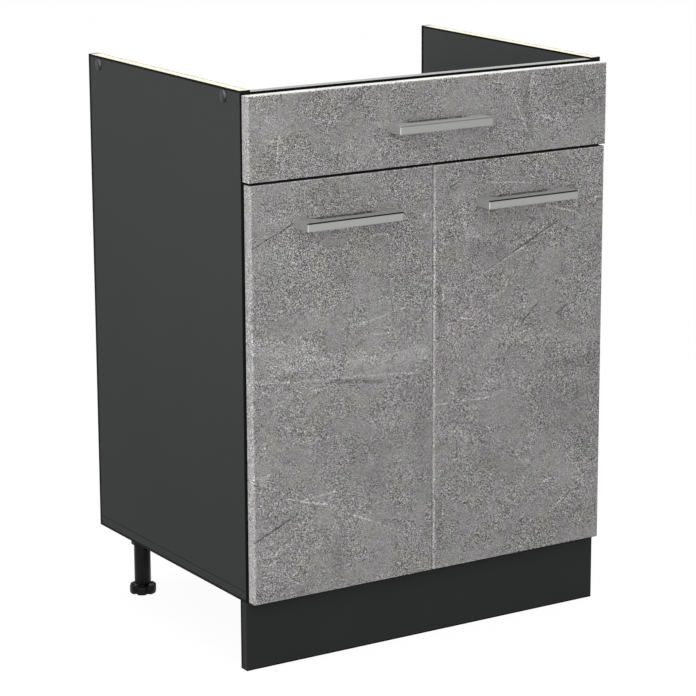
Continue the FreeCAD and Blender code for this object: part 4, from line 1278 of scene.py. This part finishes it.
class Palette:
    """The materials that several pieces share."""

    def __init__(self) -> None:
        """Makes each of them once."""
        self.band = PlasticFinish("anthracite_band", (20, 20, 20), 0.5, 0.06).material()
        self.cap = CapFinish().material()
        self.black = PlasticFinish("black_plastic", (19, 19, 19), 0.35, 0.1).material()
        self.gel = PlasticFinish("bumper_gel", (228, 230, 230), 0.18, 0.5, 400.0, 0.6).material()
        self.beech = DowelFinish().material()
        self.casting = MetalFinish("zinc_casting", (170, 170, 168), 0.42).material()
        self.zinc = MetalFinish("zinc_plating", (190, 190, 184), 0.3).material()
        self.nickel = MetalFinish("nickel_plating", (196, 196, 192), 0.24).material()


@dataclass
class Assembly:
    """What each sub-assembly works with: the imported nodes, the body of each, and the shared materials."""

    nodes: dict[str, bpy.types.Object]
    body_of: dict[str, str]
    palette: Palette
    board_arris: float = 0.35 * MM
    metal_arris: float = 0.15 * MM

    def boards(self, *finishes: BoardFinish) -> None:
        """Dresses boards."""
        for finish in finishes:
            dress(self.nodes[finish.name], finish.material(), self.board_arris)

    def fittings(self, material: bpy.types.Material, arris: float, *names: str) -> None:
        """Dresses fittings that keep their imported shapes."""
        for name in names:
            dress(self.nodes[name], material, arris)

    def screws(self, thread: Thread, *names: str) -> None:
        """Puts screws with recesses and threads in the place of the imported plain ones.

        Args:
            thread: The kind of their thread.
            *names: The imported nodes.
        """
        self.fittings(self.palette.zinc, self.metal_arris, *names)
        for name in names:
            skin = Skin(name + "_threaded")
            for points in solids(self.nodes[name]):
                Fastener.screw(points).build_screw(skin, thread)
            skin.piece(self.palette.zinc, self.body_of[name], name)


@dataclass
class Carcass(Assembly):
    """Sides, bottom panel and rails, with their bands, caps, dowels, cams and screws."""

    soft_arris: float = 0.3 * MM

    def build(self) -> None:
        """Dresses the carcass and builds its screws and cam locks."""
        self.boards(
            # The boards' dark edge lines are painted shade along their arrises; the front rail's top line is painted
            # shadow of the gap behind the false front.
            BoardFinish("left_side_panel", Decor.ANTHRACITE, Axis.X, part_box("left_side_panel"),
                        edge_shade_lines=((Side.TOP, 3.4), (Side.REAR, 6.2))),
            # The right side panel's facing is painted 1.38 times lighter, painted light for its shaded inner face.
            BoardFinish("right_side_panel", Decor.ANTHRACITE, Axis.X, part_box("right_side_panel"),
                        edge_shade_lines=((Side.TOP, 3.0), (Side.REAR, 6.0)), painted_light_factor=1.38),
            BoardFinish("bottom_panel", Decor.ANTHRACITE, Axis.Z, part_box("bottom_panel"),
                        banded=(Side.LEFT, Side.RIGHT), edge_shade_lines=((Side.UNDER, 4.0), (Side.REAR, 6.5), (Side.TOP, 1.1))),
            BoardFinish("front_rail", Decor.ANTHRACITE, Axis.Y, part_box("front_rail"), pale=((Side.TOP, 172),),
                        edge_shade_lines=((Side.TOP, 3.4),)),
            BoardFinish("rear_rail", Decor.ANTHRACITE, Axis.Y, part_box("rear_rail")),
        )
        self.fittings(self.palette.band, self.soft_arris, "edge_bands")
        self.fittings(self.palette.cap, 0.0, "cover_caps")
        self.fittings(self.palette.beech, self.soft_arris, "rail_dowels")
        self.fittings(self.palette.casting, self.metal_arris, "cam_locks")
        self.fittings(self.palette.zinc, self.metal_arris, "cam_bolts")
        self.screws(Thread.WOOD, "carcass_screws")
        self.cams()

    def cams(self) -> None:
        """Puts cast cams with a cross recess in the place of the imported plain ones."""
        skin = Skin("cam_locks_slotted")
        for points in solids(self.nodes["cam_locks"]):
            Fastener.cam(points).build_cam(skin)
        skin.piece(self.palette.casting, self.body_of["cam_locks"], "cam_locks")


@dataclass
class Fronts(Assembly):
    """The false front and the two doors, with their handles, screws, spacers and bumpers."""

    handle_arris: float = 0.25 * MM
    spacer_arris: float = 0.12 * MM

    def build(self) -> None:
        """Dresses the fronts and their handles, and builds their screws."""
        every = (Side.LEFT, Side.RIGHT, Side.UNDER, Side.TOP)
        # Dark lines of painted shade along the doors' lower and right arrises, at their seams.
        seams = ((Side.UNDER, 0.9), (Side.RIGHT, 0.8))
        self.boards(
            # The false front's underside is painted darker and its lower line is painted shade; the doors' tops are
            # painted much darker, as painted shade in the gaps; the right door's left edge face is painted lighter,
            # as painted light.
            BoardFinish("false_front", Decor.CONCRETE, Axis.Y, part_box("false_front"), banded=every,
                        pale=((Side.TOP, 252),), edge_shade_lines=((Side.UNDER, 1.1),), marks=FALSE_FRONT_MARKS,
                        painted_side_light=((Side.UNDER, 0.5),)),
            BoardFinish("left_door", Decor.CONCRETE, Axis.Y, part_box("left_door"), banded=every, edge_shade_lines=seams,
                        marks=LEFT_DOOR_MARKS, painted_side_light=((Side.TOP, 0.2),), shift=(0.7, 0.0, 0.4)),
            BoardFinish("right_door", Decor.CONCRETE, Axis.Y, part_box("right_door"), banded=every, edge_shade_lines=seams,
                        marks=RIGHT_DOOR_MARKS, painted_side_light=((Side.TOP, 0.2), (Side.LEFT, 1.6)), shift=(1.9, 0.3, 1.1)),
        )
        # Each handle's painted shade on its upper arris and painted light on its forward faces.
        for name, painted_upper_shade, painted_front_light in (("false_front_handle", 0.45, 1.0), ("left_handle", 0.97, 1.05),
                                    ("right_handle", 0.97, 1.05)):
            self.fittings(HandleFinish(name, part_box(name), painted_upper_shade, painted_front_light).material(), self.handle_arris, name)
        self.fittings(self.palette.black, self.spacer_arris, "false_front_spacers")
        self.fittings(self.palette.gel, 0.0, "left_door_bumpers", "right_door_bumpers")
        self.screws(Thread.WOOD, "false_front_screws")
        self.screws(Thread.MACHINE, "false_front_handle_screws", "left_handle_screws", "right_handle_screws")


@dataclass
class Hinges(Assembly):
    """The concealed cup hinges of both doors, with their screws."""

    cup_arris: float = 0.12 * MM

    def build(self) -> None:
        """Dresses the hinges and builds their screws."""
        self.fittings(self.palette.nickel, self.metal_arris, "hinge_plates", "hinge_arms")
        self.fittings(self.palette.zinc, 0.0, "hinge_arm_pins")
        self.screws(Thread.WOOD, "hinge_plate_screws")
        self.screws(Thread.MACHINE, "hinge_arm_screws")
        for door in ("left", "right"):
            self.fittings(self.palette.nickel, self.cup_arris, door + "_hinge_cups", door + "_outer_links",
                          door + "_inner_links")
            self.fittings(self.palette.zinc, 0.0, door + "_cup_pins")
            self.screws(Thread.WOOD, door + "_cup_screws")


@dataclass
class LevellingFoot:
    """A lobed foot: a moulded base with a dished top, and a threaded stem."""

    radius: float = 20 * MM
    thickness: float = 13.0 * MM
    rounding: float = 1.5 * MM
    notch: float = 3.4 * MM
    notch_across: float = 17.9 * MM
    notch_along: float = 8.4 * MM
    lobes: int = 6
    hub: float = 9.2 * MM
    hub_chamfer: float = 0.5 * MM
    rim: float = 2.4 * MM
    dish: float = 1.6 * MM
    wall: float = 3.2 * MM
    hollow: float = 1.4 * MM
    hollow_hub: float = 3 * MM
    sole: float = 2.6 * MM
    stem: float = 6.0 * MM
    stem_root: float = 0.5 * MM
    stem_point: float = 1.5 * MM
    thread_depth: float = 1.0 * MM
    thread_crest: float = 1.35
    thread_flank: float = 0.3
    pitch: float = 2.0 * MM
    steps_per_turn: int = 5
    stem_segments: int = 36
    segments: int = 144

    def build(self, name: str, body: str, plastic: bpy.types.Material) -> None:
        """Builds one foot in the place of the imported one.

        Args:
            name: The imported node.
            body: The body it moves with.
            plastic: Its material.
        """
        low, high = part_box(name)
        place = Matrix.Translation(((low[0] + high[0]) / 2, (low[1] + high[1]) / 2, 0))
        skin = Skin(name + "_moulded")
        self.base(skin, place)
        self.screw(skin, place, high[2])
        skin.piece(plastic, body, name)

    def outline(self, inset: float) -> list[float]:
        """The base's outline, notched between its lobes, as distances from its axis.

        Args:
            inset: How far the outline is drawn inward.

        Returns:
            One distance for each direction.
        """
        away = math.hypot(self.notch_across, self.notch_along)
        first = math.atan2(self.notch_along, self.notch_across)
        lobe = 2 * math.pi / self.lobes
        wide = self.notch + inset
        found = []
        for index in range(self.segments):
            turn = (2 * math.pi * index / self.segments - first + lobe / 2) % lobe - lobe / 2
            across = away * math.sin(turn)
            reach = self.radius - inset
            if abs(across) < wide:
                reach = min(reach, away * math.cos(turn) - math.sqrt(wide ** 2 - across ** 2))
            found.append(reach)
        return found

    def base(self, skin: Skin, place: Matrix) -> None:
        """Adds the lobed base with a hollow underside.

        Args:
            skin: The skin.
            place: The foot's frame on the floor.
        """
        soft, top = self.rounding, self.thickness
        rings = [skin.ring(place, self.hollow, [self.hub - self.hollow_hub] * self.segments)]
        for height, inset in ((self.hollow, self.wall), (0.0, self.sole), (0.0, soft),
                              (0.3 * soft, 0.3 * soft), (soft, 0.0), (top - soft, 0.0),
                              (top - 0.3 * soft, 0.3 * soft), (top, soft), (top, self.rim),
                              (top - self.dish, self.wall)):
            rings.append(skin.ring(place, height, self.outline(inset)))
        for height, radius in ((top - self.dish, self.hub), (top, self.hub - self.hub_chamfer), (top, self.stem)):
            rings.append(skin.ring(place, height, [radius] * self.segments))
        skin.lid(rings[0], False)
        skin.stack(rings)
        skin.lid(rings[-1])

    def screw(self, skin: Skin, place: Matrix, top: float) -> None:
        """Adds the threaded stem, which starts a little inside the base.

        Args:
            skin: The skin.
            place: The foot's frame on the floor.
            top: Height of the stem's upper end.
        """
        count = round((top - self.thickness) / (self.pitch / self.steps_per_turn))
        start = self.thickness - self.stem_root
        rings = []
        for index in range(count + 1):
            height = start + (top - start) * index / count
            left = min(1.0, (top - height) / self.stem_point)
            radii = []
            for step in range(self.stem_segments):
                phase = (height / self.pitch - step / self.stem_segments) % 1.0
                ridge = min(1.0, max(0.0, self.thread_crest - abs(phase - 0.5) / self.thread_flank))
                radii.append(self.stem - self.thread_depth * (1 - ridge * left))
            rings.append(skin.ring(place, height, radii))
        skin.lid(rings[0], False)
        skin.stack(rings)
        skin.lid(rings[-1])


@dataclass
class Base(Assembly):
    """The clipped plinth, and the levelling feet with their sockets and tubes."""

    feet: tuple[str, ...] = ("front_left_foot", "front_right_foot", "rear_left_foot", "rear_right_foot")
    moulded_arris: float = 0.3 * MM
    clip_arris: float = 0.2 * MM

    def build(self) -> None:
        """Dresses the base, and builds its screws and the feet."""
        # The plinth's dark lines along its lower and rear arrises are painted shade.
        self.boards(BoardFinish("plinth_panel", Decor.DARK_PLINTH, Axis.Y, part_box("plinth_panel"),
                                banded=(Side.LEFT, Side.RIGHT, Side.TOP, Side.UNDER),
                                edge_shade_lines=((Side.UNDER, 1.8), (Side.REAR, 5.0))))
        self.fittings(self.palette.black, self.moulded_arris, "foot_sockets", "foot_tubes", *self.feet)
        self.fittings(self.palette.black, self.clip_arris, "plinth_clips")
        self.screws(Thread.WOOD, "foot_socket_screws", "plinth_clip_screws")
        for name in self.feet:
            LevellingFoot().build(name, self.body_of[name], self.palette.black)


@dataclass
class Studio:
    """Floor, world, lamps and camera."""

    floor_half: float = 14.0
    floor_grey: float = 0.5
    floor_rough: float = 0.9
    floor_glow: float = 1.12
    floor_glow_share: float = 0.85
    daylight: float = 0.57
    camera_at: tuple[float, float, float] = (-2.16472, -3.42795, 1.37819)
    azimuth: float = -32.167
    elevation: float = 13.728
    roll: float = -0.22
    lens: float = 145.86
    sensor: float = 36.0
    nearest: float = 0.05
    farthest: float = 100

    def build(self) -> None:
        """Makes the whole studio: a soft key from the upper front left, and a weaker lamp from above."""
        self.floor()
        self.world()
        self.lamp("key", (-1.8, -2.0, 1.35), (0, 0, 0.45), size=3.8, power=66)
        self.lamp("top_fill", (0.3, 0.5, 2.9), (0, 0, 0.6), size=1.8, power=26)
        self.camera()
        bpy.context.scene.view_settings.view_transform = "Standard"

    def floor(self) -> None:
        """A pale floor that shows as white and keeps the cabinet's shadow."""
        mesh = bpy.data.meshes.new("studio_floor")
        half = self.floor_half
        mesh.from_pydata([(-half, -half, 0), (half, -half, 0), (half, half, 0), (-half, half, 0)], [], [(0, 1, 2, 3)])
        plane = bpy.data.objects.new("studio_floor", mesh)
        bpy.context.scene.collection.objects.link(plane)
        look = Surface("studio_floor")
        look.surface.inputs["Base Color"].default_value = (self.floor_grey, self.floor_grey, self.floor_grey, 1)
        look.surface.inputs["Roughness"].default_value = self.floor_rough
        look.surface.inputs["Specular IOR Level"].default_value = 0.0
        glow = look.add("ShaderNodeEmission")
        glow.inputs["Strength"].default_value = self.floor_glow
        mixed = look.add("ShaderNodeMixShader")
        look.plug(mixed.inputs[0], self.shown(look) * self.floor_glow_share)
        look.plug(mixed.inputs[1], look.out(look.surface))
        look.plug(mixed.inputs[2], look.out(glow))
        look.plug(look.tree.nodes["Material Output"].inputs["Surface"], look.out(mixed))
        mesh.materials.append(look.material)

    def shown(self, graph: Graph) -> Wire:
        """One for what the camera sees, straight, mirrored in a glossy surface or through a clear one.

        Args:
            graph: The graph that asks.

        Returns:
            The mask.
        """
        path = graph.add("ShaderNodeLightPath")
        seen = graph.out(path, "Is Camera Ray")
        for ray in ("Is Glossy Ray", "Is Transmission Ray"):
            seen = seen.most(graph.out(path, ray))
        return seen

    def world(self) -> None:
        """An even soft light that the camera sees as white."""
        world = bpy.data.worlds.new("studio")
        world.use_nodes = True
        graph = Graph(world.node_tree)
        ground = graph.tree.nodes["Background"]
        ground.inputs["Color"].default_value = (1, 1, 1, 1)
        graph.plug(ground.inputs["Strength"], self.shown(graph) * (1.0 - self.daylight) + self.daylight)
        bpy.context.scene.world = world

    def lamp(self, name: str, place: Sequence[float], target: Sequence[float], size: float, power: float) -> None:
        """Adds a square area lamp.

        Args:
            name: Its name.
            place: Where it hangs.
            target: What it looks at.
            size: Its side length.
            power: Its power in watts.
        """
        data = bpy.data.lights.new(name, "AREA")
        data.size = size
        data.energy = power
        lamp = bpy.data.objects.new(name, data)
        lamp.location = place
        lamp.rotation_mode = "QUATERNION"
        lamp.rotation_quaternion = (Vector(target) - Vector(place)).to_track_quat("-Z", "Y")
        bpy.context.scene.collection.objects.link(lamp)

    def camera(self) -> None:
        """The camera at the photograph's place."""
        data = bpy.data.cameras.new("camera")
        data.lens = self.lens
        data.sensor_width = self.sensor
        data.clip_start = self.nearest
        data.clip_end = self.farthest
        camera = bpy.data.objects.new("camera", data)
        turn, rise = math.radians(self.azimuth), math.radians(self.elevation)
        ahead = Vector((-math.sin(turn) * math.cos(rise), math.cos(turn) * math.cos(rise), -math.sin(rise)))
        camera.rotation_mode = "QUATERNION"
        level = ahead.to_track_quat("-Z", "Y").to_matrix().to_4x4()
        level = level @ Matrix.Rotation(math.radians(self.roll), 4, "Z")
        camera.rotation_quaternion = level.to_quaternion()
        camera.location = self.camera_at
        bpy.context.scene.collection.objects.link(camera)
        bpy.context.scene.camera = camera


def main() -> None:
    """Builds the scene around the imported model."""
    logging.basicConfig(level=logging.INFO, format="%(message)s")
    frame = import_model()
    body_of = {node: body for body, held in frame["record"]["behaviour"]["bodies"].items() for node in held}
    palette = Palette()
    for assembly in (Carcass, Fronts, Hinges, Base):
        assembly(frame["nodes"], body_of, palette).build()
    Studio().build()


if __name__ == "__main__":
    main()
